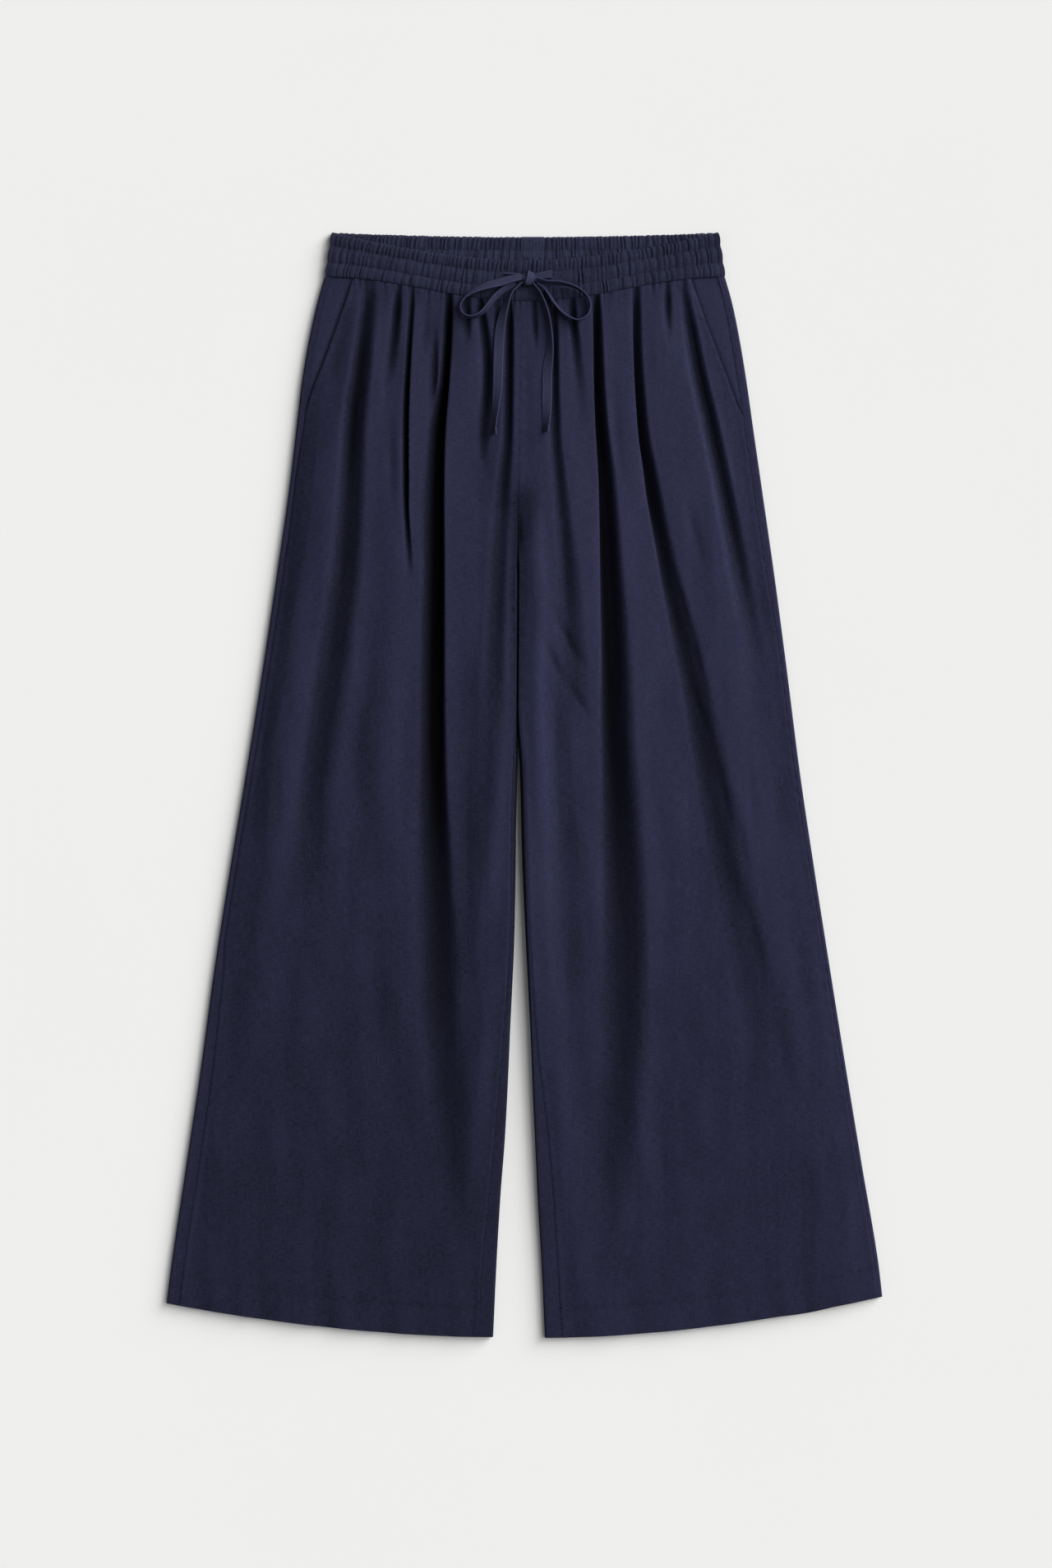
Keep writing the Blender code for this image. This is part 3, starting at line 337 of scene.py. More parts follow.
TAIL_LEFT = as_rows(Tape, [
    (-2.4, 47.6, 0.8, 50, 4.0), (-6.6, 51.2, 1.0, 66, 6.0),
    (-13.4, 58.6, 0.6, 68, 7.5),
    (-17.4, 68.0, 0.2, 58, 9.0), (-21.6, 82.0, 0.0, 34, 9.5),
    (-24.2, 98.0, 0.0, 14, 9.5), (-25.4, 121.4, 0.0, 4, 9.5),
    (-26.0, 145.6, 0.0, 16, 9.5), (-28.0, 170.0, 0.0, 46, 9.0),
    (-29.0, 184.0, 0.0, 64, 8.0), (-29.0, 193.2, 0.0, 58, 7.0),
])
TAIL_RIGHT = as_rows(Tape, [
    (5.6, 48.2, 0.8, 50, 4.0), (8.0, 51.6, 1.0, 66, 6.0),
    (13.6, 59.4, 0.6, 68, 7.5),
    (18.8, 71.4, 0.2, 72, 9.0), (22.6, 86.3, 0.0, 72, 9.5),
    (23.6, 108.9, 0.0, 50, 9.5), (21.2, 133.1, 0.0, 14, 9.5),
    (20.7, 158.1, 0.0, 10, 9.5), (20.2, 178.0, 0.0, 34, 9.0),
    (19.8, 190.9, 0.0, 52, 7.5),
])
LEAD_LEFT = as_rows(Tape, [
    (-19.0, 41.4, 0.0, 62, 6.0), (-12.0, 42.2, 0.0, 50, 6.0), (-4.9, 43.2, 0.0, 20, 5.0),
])
LEAD_RIGHT = as_rows(Tape, [
    (26.0, 40.6, 0.0, 0, 7.5), (17.5, 41.6, 0.0, 0, 6.5), (7.5, 43.4, 0.0, 0, 5.0),
])
SLITS = [(-22.5, -11.0, 41.3), (15.5, 27.5, 40.7)]   # buttonholes: from, to, down

# ---- Curves ------------------------------------------------------------------------------------


def smooth_through(pairs):
    """A function that runs smoothly through (position, value) pairs without overshooting."""
    places = np.array([pair[0] for pair in pairs], float)
    values = np.array([pair[1] for pair in pairs], float)
    steps = np.diff(places)
    slopes = np.diff(values) / steps
    tangents = np.zeros(len(values))
    tangents[0] = slopes[0]
    tangents[-1] = slopes[-1]
    before = slopes[:-1]
    after = slopes[1:]
    climbs_on = before * after > 0
    total = np.where(climbs_on, before + after, 1.0)
    tangents[1:-1] = np.where(climbs_on, 2 * before * after / total, 0.0)

    def value(place):
        place = np.clip(place, places[0], places[-1])
        left = np.clip(np.searchsorted(places, place) - 1, 0, len(steps) - 1)
        t = (place - places[left]) / steps[left]
        rise = t * t * (3 - 2 * t)
        start_pull = t * (1 - t) ** 2 * steps[left] * tangents[left]
        end_pull = t * t * (1 - t) * steps[left] * tangents[left + 1]
        return values[left] + rise * (values[left + 1] - values[left]) + start_pull - end_pull

    return value


def edge_curve(table, leg):
    """An edge table as a smooth function of the distance down."""
    return smooth_through([(row.down, getattr(row, leg.name)) for row in table])


def knot_curve(knots, column):
    """One column of a fold as a smooth function of the distance down."""
    return smooth_through([(knot.down, getattr(knot, column)) for knot in knots])


def ease(t):
    """0 to 1 with level ends."""
    t = np.clip(t, 0.0, 1.0)
    return t * t * (3 - 2 * t)


def bell(t):
    """1 in the middle, 0 from 1 outwards."""
    return 0.5 + 0.5 * np.cos(math.pi * np.clip(np.abs(t), 0.0, 1.0))


def between(value, limits):
    """0 up to the first limit, 1 from the second, easing from one to the other."""
    return ease((value - limits[0]) / (limits[1] - limits[0]))


def ramp(value, start, length):
    """0 up to the start, then rising evenly to 1 over the length."""
    return np.clip((value - start) / length, 0.0, 1.0)


def hump(distance, half):
    """1 at no distance, falling smoothly away over about twice half."""
    return np.exp(-(distance / half) ** 2)


crown_height = smooth_through(CROWN)
lean_amount = smooth_through(LEAN)
inner_lift = smooth_through(INNER_LIFT)
pressed_out = smooth_through(LEGS_PRESSED)


def front_seam(across):
    """Distance down to the front waist seam."""
    return BAND_SIDE_HEIGHT + SEAM_DIP * bell(across / WAIST_HALF_BOTTOM)


def back_seam(across):
    """Distance down to the back waist seam."""
    return BAND_SIDE_HEIGHT + BACK_SEAM_DIP * bell(across / WAIST_HALF_BOTTOM)


def hem(leg, out):
    """Distance down to the hem of one leg."""
    inside = edge_curve(INNER_LEG, leg)(LENGTH)
    outside = edge_curve(OUTLINE, leg)(LENGTH)
    share = np.clip((out - inside) / (outside - inside), 0.0, 1.0)
    return HEM_LOW[leg.name] - HEM_RISE[leg.name] * share ** HEM_CURVE


def place(leg, out, down, height):
    """Points in metres from distances out, down and up."""
    out, down, height = np.broadcast_arrays(out, down, height)
    return np.stack([leg.sign * out, LENGTH / 2 - down, height], axis=-1) * MM


def legs_apart(down):
    """0 where the fronts' inner edges meet, 1 where the backs' lips show between them."""
    return between(down, LEGS_PART)


def inner_seam(leg, down):
    """Centre front seam above the crotch, inner leg seam below it."""
    middle = edge_curve(INNER_LEG, leg)(down)
    return middle + edge_curve(INNER_LIP, leg)(down) * legs_apart(down)


def side_seam(leg, down):
    """Side seam, where the back's lip meets the front or the pocket facing."""
    return edge_curve(OUTLINE, leg)(down) - edge_curve(SIDE_LIP, leg)(down)


def row_down(leg, share, fraction):
    """Distance down along a row, share of the way from the waist seam to the hem."""
    waist_inner = inner_seam(leg, ROWS_FIRST)
    hem_inner = inner_seam(leg, ROWS_LAST)
    at_waist = waist_inner + (side_seam(leg, BAND_SIDE_HEIGHT) - waist_inner) * fraction
    at_hem = hem_inner + (side_seam(leg, ROWS_LAST) - hem_inner) * fraction
    top = front_seam(at_waist) + SEAM_GAP / 2
    return top + (hem(leg, at_hem) - top) * share


def row_seams(leg, share):
    """Places of the inner seam and the side seam on a row."""
    inner = inner_seam(leg, row_down(leg, share, 0.0))
    side = side_seam(leg, row_down(leg, share, 1.0))
    return inner, side


def mouth_fraction(leg, share):
    """Where a front ends on a row: at the pocket mouth, or at the side seam below its end."""
    inner, side = row_seams(leg, share)
    fraction = 1.0
    for _ in range(4):
        down = row_down(leg, share, fraction)
        closed = ease((down - POCKET_MOUTH[-1].down + 12.0) / 12.0)
        mouth = edge_curve(POCKET_MOUTH, leg)(down) * (1 - closed) + side * closed
        fraction = np.minimum(1.0, (mouth - inner) / (side - inner))
    return fraction


def fold_profile(knots, out, down, wider=1.0):
    """How far into a fold's trough a place is, 0 to 1, and the fold's depth there."""
    offset = out - knot_curve(knots, "out")(down)
    outer = knot_curve(knots, "outer")(down) * wider
    inner = knot_curve(knots, "inner")(down) * wider
    share = offset / np.where(offset > 0, outer, inner)
    inside = (down > knots[0].down - 30) & (down < knots[-1].down)
    return bell(share) * inside, knot_curve(knots, "depth")(down)


def waist_share(out, down):
    """1 at the front waist seam, easing to 0 a little below it."""
    return 1 - ease((down - front_seam(out)) / WAIST_REACH)


def mouth_height(out, down):
    """Height of a front's outer edge: the pocket mouth, or the side seam below it."""
    edge = ROLL_HEIGHT + MOUTH_LIFT * (1 - between(down, MOUTH_SETTLES))
    return edge + (WAIST_SEAM_HEIGHT - edge) * waist_share(out, down)


def front_height(leg, out, down, inner_edge, outer_edge, relief=0.0):
    """Height of a front's outer face: a crowned sheet with the folds' troughs in it."""
    inner_rise = 1 - between(down, INNER_FALL) * (1 - ease((out - inner_edge) / CROWN_INNER))
    outer_rise = ease((outer_edge - out) / CROWN_OUTER)
    at_waist = waist_share(out, down)
    edge_height = mouth_height(out, down)
    height = edge_height + (crown_height(down) - edge_height) * inner_rise * outer_rise
    for knots in leg.folds.values():
        profile, depth = fold_profile(knots, out, down)
        height = height - profile * depth * (1 - WAIST_HOLDS * at_waist)
    height = height + relief
    floor = CREASE_FLOOR + (WAIST_SEAM_HEIGHT - WAIST_DIP - CREASE_FLOOR) * at_waist
    softness = 0.5
    return floor + softness * np.logaddexp(0.0, (height - floor) / softness)


def front_lean(leg, out, down):
    """How far a face leans outwards for each millimetre that it stands above the seams."""
    lean = np.zeros(np.broadcast(out, down).shape)
    for name in LEANING_FOLDS:
        knots = leg.folds[name]
        reach = knot_curve(knots, "inner")(down)
        crest = knot_curve(knots, "out")(down) - reach
        fade = ease(knot_curve(knots, "depth")(down) / LEAN_DEPTH)
        lean = lean + lean_amount(down) * fade * bell((out - crest) / (reach + LEAN_REACH))
    return lean


# ---- Meshes ------------------------------------------------------------------------------------


def grid_quads(rows, columns, first):
    """Quads over a grid of vertices that starts at index first."""
    corner = first + np.arange(rows - 1)[:, None] * columns + np.arange(columns - 1)[None, :]
    quads = np.stack([corner, corner + 1, corner + columns + 1, corner + columns], axis=-1)
    return quads.reshape(-1, 4).tolist()


def rim(rows, columns, first):
    """Indices round the border of a grid, as a closed path."""
    top = [first + column for column in range(columns)]
    right = [first + row * columns + columns - 1 for row in range(1, rows)]
    bottom = [first + (rows - 1) * columns + column for column in range(columns - 2, -1, -1)]
    left = [first + row * columns for row in range(rows - 2, 0, -1)]
    return top + right + bottom + left


def add_object(name, data):
    """Puts a mesh, a light or a camera into the scene."""
    added = bpy.data.objects.new(name, data)
    bpy.context.scene.collection.objects.link(added)
    return added


def add_piece(name, vertices, faces, finish, uv, tone, sharp=60.0):
    """A piece of the object, with its faces pointing out, riding on the one body."""
    mesh = bpy.data.meshes.new(name)
    mesh.from_pydata(np.asarray(vertices).tolist(), [], faces)
    shape = bmesh.new()
    shape.from_mesh(mesh)
    bmesh.ops.recalc_face_normals(shape, faces=shape.faces)
    shape.to_mesh(mesh)
    shape.free()
    corners = np.zeros(len(mesh.loops), int)
    mesh.loops.foreach_get("vertex_index", corners)
    layer = mesh.uv_layers.new(name="cloth")
    layer.data.foreach_set("uv", uv[corners].astype(np.float32).ravel())
    # The 'crease' attribute carries painted shade (above 0) and painted highlight (below 0) to the
    # material.
    attribute = mesh.attributes.new("crease", "FLOAT", "POINT")
    attribute.data.foreach_set("value", tone.astype(np.float32))
    mesh.shade_smooth()
    mesh.set_sharp_from_angle(angle=math.radians(sharp))
    mesh.materials.append(finish)
    piece = add_object(name, mesh)
    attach(piece, "root")
    return piece


def add_wall(name, face, back, finish, tone, step):
    """A closed wall of cloth: a fine face, a coarser back on every step-th point, and a rim.

    The back has half the face's painted shade and highlight.
    """
    rows, columns = face.shape[:2]
    back = back[::step, ::step]
    count = rows * columns
    back_rows, back_columns = back.shape[:2]
    faces = grid_quads(rows, columns, 0) + grid_quads(back_rows, back_columns, count)
    face_rim = rim(rows, columns, 0)
    back_rim = rim(back_rows, back_columns, count)
    for index, low in enumerate(back_rim):
        run = [face_rim[(index * step + n) % len(face_rim)] for n in range(step + 1)]
        faces.append(tuple(run[::-1] + [low, back_rim[(index + 1) % len(back_rim)]]))
    vertices = np.concatenate([face.reshape(-1, 3), back.reshape(-1, 3)])
    uv = cloth_uv(face)
    uv = np.concatenate([uv.reshape(-1, 2), uv[::step, ::step].reshape(-1, 2)])
    tone = np.concatenate([tone.ravel(), tone[::step, ::step].ravel() * 0.5])
    return add_piece(name, vertices, faces, finish, uv, tone)


def cloth_uv(face):
    """Distances along the cloth from its first column and row, in metres."""
    across = np.linalg.norm(np.diff(face, axis=1), axis=2)
    along = np.linalg.norm(np.diff(face, axis=0), axis=2)
    middle = face.shape[1] // 2
    u = np.concatenate([np.zeros((face.shape[0], 1)), np.cumsum(across, axis=1)], axis=1)
    v = np.concatenate([[0.0], np.cumsum(along[:, middle])])
    u = u - u[:, middle:middle + 1]
    return np.stack([u, np.broadcast_to(v[:, None], u.shape)], axis=-1)


def wave_field(seed, x, y, waves, wavelengths, stretch):
    """A smooth random field of about -1 to 1, drawn out along y by the stretch."""
    draw = np.random.default_rng(seed)
    total = np.zeros(np.broadcast(x, y).shape)
    for _ in range(waves):
        length = draw.uniform(*wavelengths)
        angle = draw.uniform(-0.5, 0.5)
        phase = draw.uniform(0, 2 * math.pi)
        wander = np.sin(y / (length * stretch) * 2 * math.pi + draw.uniform(0, 6.28))
        total = total + np.sin(2 * math.pi * (x + y * angle / stretch) / length + phase + wander)
    return total / math.sqrt(waves)


# ---- Materials ---------------------------------------------------------------------------------


def colour(code):
    """A colour of the shader from its sRGB hex code."""
    channels = [int(code[place:place + 2], 16) / 255 for place in (1, 3, 5)]
    linear = [c / 12.92 if c <= 0.04045 else ((c + 0.055) / 1.055) ** 2.4 for c in channels]
    return (*linear, 1.0)


def add_node(tree, kind, inputs=(), **settings):
    """Adds a node with its settings, and gives its inputs, by name or in order, what they take.

    That is a number or a colour, another node's output, or another node for its first output.
    """
    node = tree.nodes.new(kind)
    for name, value in settings.items():
        setattr(node, name, value)
    for name, value in inputs.items() if isinstance(inputs, dict) else enumerate(inputs):
        if isinstance(value, bpy.types.Node):
            value = value.outputs[0]
        if isinstance(value, bpy.types.NodeSocket):
            tree.links.new(value, node.inputs[name])
        else:
            node.inputs[name].default_value = value
    return node


def new_material(name, roughness, gloss):
    """A material with its roughness and specular level, its node tree and its shader."""
    material = bpy.data.materials.new(name)
    material.use_nodes = True
    shader = material.node_tree.nodes["Principled BSDF"]
    shader.inputs["Roughness"].default_value = roughness
    shader.inputs["Specular IOR Level"].default_value = gloss
    return material, material.node_tree, shader


MATH = "ShaderNodeMath"
MIX = "ShaderNodeMix"
MIX_FACTOR = 0             # sockets of a mix of two colours
MIX_FIRST = 6
MIX_SECOND = 7
MIX_RESULT = 2

# Grain of the cloth across and along the legs, in repeats for each metre: slubs about 0.6 mm
# thick and 8 mm long in both directions, and blotches of the dye 40 to 60 mm wide.
WEFT_GRAIN = (130.0, 1700.0)
WARP_GRAIN = (1700.0, 110.0)
DYE_GRAIN = (24.0, 16.0)
DYE_SHARE = 0.35           # how much of the tone the dye's blotches make
WEAVE_SHARE = 0.22         # and the over and under of the threads
# Painted highlight where the tone attribute is below 0:
PAINTED_HIGHLIGHT_SHARE = 0.95         # and a paler place of the tone attribute
SLUB_RISE = 0.8            # how much the slubs stand out beside the weave
THREAD_RISE = 0.0003       # height of the threads in metres
# Painted shade in the folds:
PAINTED_SHADE_COLOUR = "#141420"   # the colours are multiplied by this where the tone attribute is 1


def grain(tree, uv, repeats, detail, seed):
    """Noise drawn out along the cloth, from its repeats for each metre in both directions."""
    placed = add_node(tree, "ShaderNodeMapping", {
        "Vector": uv, "Scale": (*repeats, 1.0), "Location": (seed, seed * 0.7, 0.0)})
    return add_node(tree, "ShaderNodeTexNoise", {
        "Vector": placed, "Scale": 1.0, "Detail": detail, "Roughness": 0.6}, noise_dimensions="2D")


def linen(name, deep, pale, pitch, slub):
    """Plain-woven linen: over-and-under threads, slubs, painted shade in folds, painted highlight
    on ridges.
    """
    material, tree, shader = new_material(name, 0.88, 0.06)
    uv = add_node(tree, "ShaderNodeUVMap", uv_map="cloth")
    axes = add_node(tree, "ShaderNodeSeparateXYZ", [uv])
    weft = grain(tree, uv, WEFT_GRAIN, 2.0, 3.0)
    warp = grain(tree, uv, WARP_GRAIN, 2.0, 11.0)
    dye = grain(tree, uv, DYE_GRAIN, 3.0, 5.0)
    turn = 2 * math.pi / (2 * pitch)
    waves = []
    for axis in "XY":
        angle = add_node(tree, MATH, [axes.outputs[axis], turn], operation="MULTIPLY")
        waves.append(add_node(tree, MATH, [angle], operation="SINE"))
    crossed = add_node(tree, MATH, waves, operation="MULTIPLY")
    weave = add_node(tree, MATH, [crossed, 0.5, 0.5], operation="MULTIPLY_ADD")
    threads = add_node(tree, MATH, [weft, warp], operation="ADD")
    tone = 0.5
    for part, middle, share in ((threads, 1.0, slub), (dye, 0.5, DYE_SHARE),
                                (weave, 0.5, WEAVE_SHARE)):
        centred = add_node(tree, MATH, [part, middle], operation="SUBTRACT")
        tone = add_node(tree, MATH, [centred, share, tone], operation="MULTIPLY_ADD")
    # The 'crease' attribute holds painted shade above 0 and painted highlight below 0.
    crease = add_node(tree, "ShaderNodeAttribute", attribute_name="crease").outputs["Fac"]
    ridge = add_node(tree, MATH, [crease, 0.0], operation="MINIMUM")
    tone = add_node(tree, MATH, [ridge, -PAINTED_HIGHLIGHT_SHARE, tone], operation="MULTIPLY_ADD")
    # The yarn's colour mixes slubs, dye and weave with the painted highlight.
    yarn = add_node(tree, MIX, {
        MIX_FACTOR: tone, MIX_FIRST: colour(deep), MIX_SECOND: colour(pale)},
        data_type="RGBA", clamp_factor=False, clamp_result=True)
    # Painted shade: the yarn's colour is darkened where the attribute is above 0.
    shaded = add_node(tree, MIX, {
        MIX_FACTOR: crease, MIX_FIRST: yarn.outputs[MIX_RESULT], MIX_SECOND: colour(PAINTED_SHADE_COLOUR)},
        data_type="RGBA", blend_type="MULTIPLY", clamp_factor=True)
    tree.links.new(shaded.outputs[MIX_RESULT], shader.inputs["Base Color"])
    height = add_node(tree, MATH, [threads, SLUB_RISE, weave], operation="MULTIPLY_ADD")
    bump = add_node(tree, "ShaderNodeBump", {
        "Strength": 0.6, "Distance": THREAD_RISE, "Height": height})
    tree.links.new(bump.outputs["Normal"], shader.inputs["Normal"])
    return material


def mottled(name, roughness, gloss, scale, detail, first, second):
    """A plain surface whose colour wanders between two, in patches of a given scale."""
    material, tree, shader = new_material(name, roughness, gloss)
    coordinates = add_node(tree, "ShaderNodeTexCoord").outputs["Object"]
    patches = add_node(tree, "ShaderNodeTexNoise", {
        "Vector": coordinates, "Scale": scale, "Detail": detail})
    tone = add_node(tree, MIX, {
        MIX_FACTOR: patches, MIX_FIRST: colour(first), MIX_SECOND: colour(second)},
        data_type="RGBA")
    tree.links.new(tone.outputs[MIX_RESULT], shader.inputs["Base Color"])
    return material


# The threads lie 0.58 mm apart, coarser than in real linen of this weight, so that the weave shows.

# Panels: mid-weight plain linen, piece-dyed navy, matt and slightly slubbed.
panel_linen = linen("plain_linen_navy", "#131420", "#2c2d44", 0.00058, 1.0)
# Waistband: the same linen, gathered over elastic.
band_linen = linen("gathered_linen_navy", "#171826", "#33354c", 0.00058, 0.9)
# Drawstring: the same linen folded into a flat tape, its face a little smoother.
tape_linen = linen("linen_tape_navy", "#1b1c2b", "#3a3b54", 0.00050, 0.5)
# Stitches: polyester thread in the colour of the cloth, with a fine twist and a slight gloss.
thread = mottled("polyester_thread_navy", 0.55, 0.35, 2600.0, 1.0, "#1d1e2b", "#2c2d40")
# Floor: matt painted board, almost even in colour.
floor_paint = mottled("matt_white_floor", 0.9, 0.1, 3.0, 3.0, "#e9e9e8", "#ebebea")

# ---- Camera, floor and light -------------------------------------------------------------------

PHOTO_HEIGHT = 1.4896      # metres of the floor that the photograph shows from top to bottom
LENS = 100.0
SENSOR = 36.0
CAMERA_PLACE = (0.0008, 0.0008, PHOTO_HEIGHT * LENS / SENSOR + 0.002)
FLOOR_HALF = 6.0
FLOOR_LEVEL = -0.0004      # a little below the garment, so the two faces don't coincide


def add_camera():
    """Straight above the garment, with a long lens."""
    data = bpy.data.cameras.new("camera")
    data.type = "PERSP"
    data.lens = LENS
    data.sensor_width = SENSOR
    data.clip_end = 50.0
    camera = add_object("camera", data)
    camera.location = CAMERA_PLACE
    bpy.context.scene.camera = camera


def add_sun(name, toward, spread, strength, tint):
    """A distant soft light, from the direction that it stands in and its spread in degrees."""
    data = bpy.data.lights.new(name, "SUN")
    data.angle = math.radians(spread)
    data.energy = strength
    data.color = colour(tint)[:3]
    light = add_object(name, data)
    light.rotation_euler = Vector(toward).to_track_quat("Z", "Y").to_euler()


def add_floor():
    """A plain pale floor."""
    corners = [(x * FLOOR_HALF, y * FLOOR_HALF, FLOOR_LEVEL)
               for x, y in ((-1, -1), (1, -1), (1, 1), (-1, 1))]
    mesh = bpy.data.meshes.new("floor")
    mesh.from_pydata(corners, [], [(0, 1, 2, 3)])
    mesh.materials.append(floor_paint)
    floor = add_object("floor", mesh)


def add_world():
    """A dim even surround that fills the shadows."""
    world = bpy.data.worlds.new("surround")
    world.use_nodes = True
    background = world.node_tree.nodes["Background"]
    background.inputs["Color"].default_value = colour("#f2f3f5")
    background.inputs["Strength"].default_value = 0.24
    bpy.context.scene.world = world


add_camera()
add_floor()
add_world()
add_sun("overhead", (0.62, 0.2, 1.0), 40.0, 1.68, "#fffffe")
add_sun("key_from_upper_right", (1.0, 0.75, 0.58), 40.0, 2.9, "#fffffd")
bpy.context.scene.view_settings.view_transform = "Standard"
bpy.context.scene.view_settings.look = "None"

# ---- Gathers of the waistband ------------------------------------------------------------------


CREASES_REACH = 0.975      # the outermost creases, as a share of the band's half width
CREASE_HALF = 0.0034       # half width of a crease, as a share of the band's half width
SWAY = 0.0022              # how far a crease bows sideways in the middle of its channel


def crease_lines(seed, count, extra):
    """Creases between the gathers: places across the band at its four lines, from left to right.

    Each row holds one crease. The extra ones split the widest gathers of the top channel.
    """
    draw = np.random.default_rng(seed)
    widths = draw.uniform(0.4, 1.6, count)
    places = np.cumsum(widths)
    places = (places - places[0]) / (places[-1] - places[0]) * 2 * CREASES_REACH - CREASES_REACH
    slant = -0.011 * ease((0.25 - places) / 0.5) + draw.normal(0.0, 0.004, count)
    levels = []
    for level in CHANNELS:
        drift = slant * (level - CHANNELS[1]) * 2 + draw.uniform(-0.0035, 0.0035, count)
        levels.append(np.sort(places + drift))
    lines = np.stack(levels, axis=-1)
    gaps = np.argsort(np.diff(lines[:, 0]))[::-1][:extra]
    halves = (lines[gaps] + lines[gaps + 1]) / 2
    return lines, halves


FRONT_CREASES, FRONT_SPLITS = crease_lines(5, 66, 22)
BACK_CREASES, BACK_SPLITS = crease_lines(9, 64, 20)


def gather_relief(columns, levels, creases, splits, seed):
    """How far out of its valley each place of a gathered face stands, and how deep its crease is.

    Both run from 0 to 1. Every gather leans: its crest lies nearer to one of its creases.
    """
    draw = np.random.default_rng(seed)
    total = len(creases) + len(splits)
    strengths = draw.uniform(0.0, 1.0, (total, 3)) ** np.array([0.7, 1.3, 1.3])
    crests = draw.uniform(0.30, 0.70, (total + 2, 3))
    fullness = draw.uniform(0.55, 1.0, (total + 2, 3))
    relief = np.zeros((len(levels), len(columns)))
    depth = np.zeros(relief.shape)
    for row, level in enumerate(levels):
        channel = min(int(np.searchsorted(CHANNELS[1:], level)), 2)
        blend = (level - CHANNELS[channel]) / (CHANNELS[channel + 1] - CHANNELS[channel])
        lines = creases
        if channel == 0:
            lines = np.concatenate([creases, splits])
        sway = SWAY * math.sin(math.pi * blend)
        here = lines[:, channel] * (1 - blend) + lines[:, channel + 1] * blend
        here = here + sway * np.sin(np.arange(len(here)) * 2.4 + channel * 1.7)
        order = np.argsort(here)
        here = here[order]
        strong = strengths[order, channel]
        edges = np.concatenate([[-1.02], here, [1.02]])
        slot = np.clip(np.searchsorted(edges, columns) - 1, 0, len(edges) - 2)
        span = np.maximum(edges[slot + 1] - edges[slot], 1e-4)
        t = np.clip((columns - edges[slot]) / span, 0.0, 1.0)
        left = np.concatenate([[0.3], strong])[slot]
        right = np.concatenate([strong, [0.3]])[slot]
        crest = crests[slot, channel]
        leaning = np.where(t < crest, 0.5 * t / crest, 1 - 0.5 * (1 - t) / (1 - crest))
        crown = np.sin(math.pi * leaning) ** 0.8 * fullness[slot, channel]
        width = CREASE_HALF / span
        crease = left * np.exp(-(t / width) ** 2) + right * np.exp(-((1 - t) / width) ** 2)
        shared = 0.25 + 0.45 * (left * (1 - t) + right * t)
        relief[row] = np.clip(1 - shared + (crown - 0.5) * shared * 2 - 0.12 * crease, 0.0, 1.3)
        depth[row] = np.clip(crease, 0.0, 1.0)
    return relief, depth


def channel_puff(levels):
    """How full each row of the band is: 0 on a line of stitches, 1 in a channel's middle."""
    puff = np.zeros(len(levels))
    for top, low in zip(CHANNELS[:-1], CHANNELS[1:]):
        t = (levels - top) / (low - top)
        inside = (t >= 0) & (t <= 1)
        puff = np.where(inside, np.sin(math.pi * np.clip(t, 0, 1)) ** 0.6, puff)
    return puff


class Calm(NamedTuple):
    """An ungathered patch of the band: its middle, half width, level and half height."""
    across: float
    half: float
    level: float
    tall: float


FRONT_CALM = [Calm(33.0, 9.0, 0.50, 0.20), Calm(-20.0, 7.0, 0.50, 0.17),
              Calm(1.0, 8.0, 0.90, 0.22)]
BACK_CALM = [Calm(6.5, 8.0, 0.20, 0.24)]


def calm_share(patches, across, levels):
    """1 in an ungathered patch of the band, 0 outside."""
    share = np.zeros(np.broadcast(across, levels).shape)
    for patch in patches:
        sideways = 1 - ease((np.abs(across - patch.across) - patch.half) / 2.5)
        upright = 1 - ease((np.abs(levels - patch.level) - patch.tall) / 0.08)
        share = np.maximum(share, sideways * upright)
    return share


def end_turn(across):
    """1 along a band, falling as a quarter circle to 0 at its ends."""
    turning = BAND_ROUND + WAIST_HALF_BOTTOM - WAIST_HALF_TOP
    t = ramp(np.abs(across), WAIST_HALF_TOP - BAND_ROUND, turning)
    return np.sqrt(1 - t * t)


def front_top(across):
    """Distance down to the front band's top edge."""
    share = np.clip(np.abs(across) / WAIST_HALF_TOP, 0.0, 1.0)
    return FRONT_DIP * (1 - share ** 1.7)


def back_top(across):
    """Distance down to the back band's top edge."""
    share = np.clip(np.abs(across) / WAIST_HALF_TOP, 0.0, 1.0)
    return BACK_DIP * (1 - share ** 2)


def band_levels():
    """Rows down the band, closer together at its edges and lines of stitches."""
    t = np.linspace(0.0, 1.0, BAND_ROWS)
    return t - 0.012 * np.sin(2 * math.pi * t * 3)


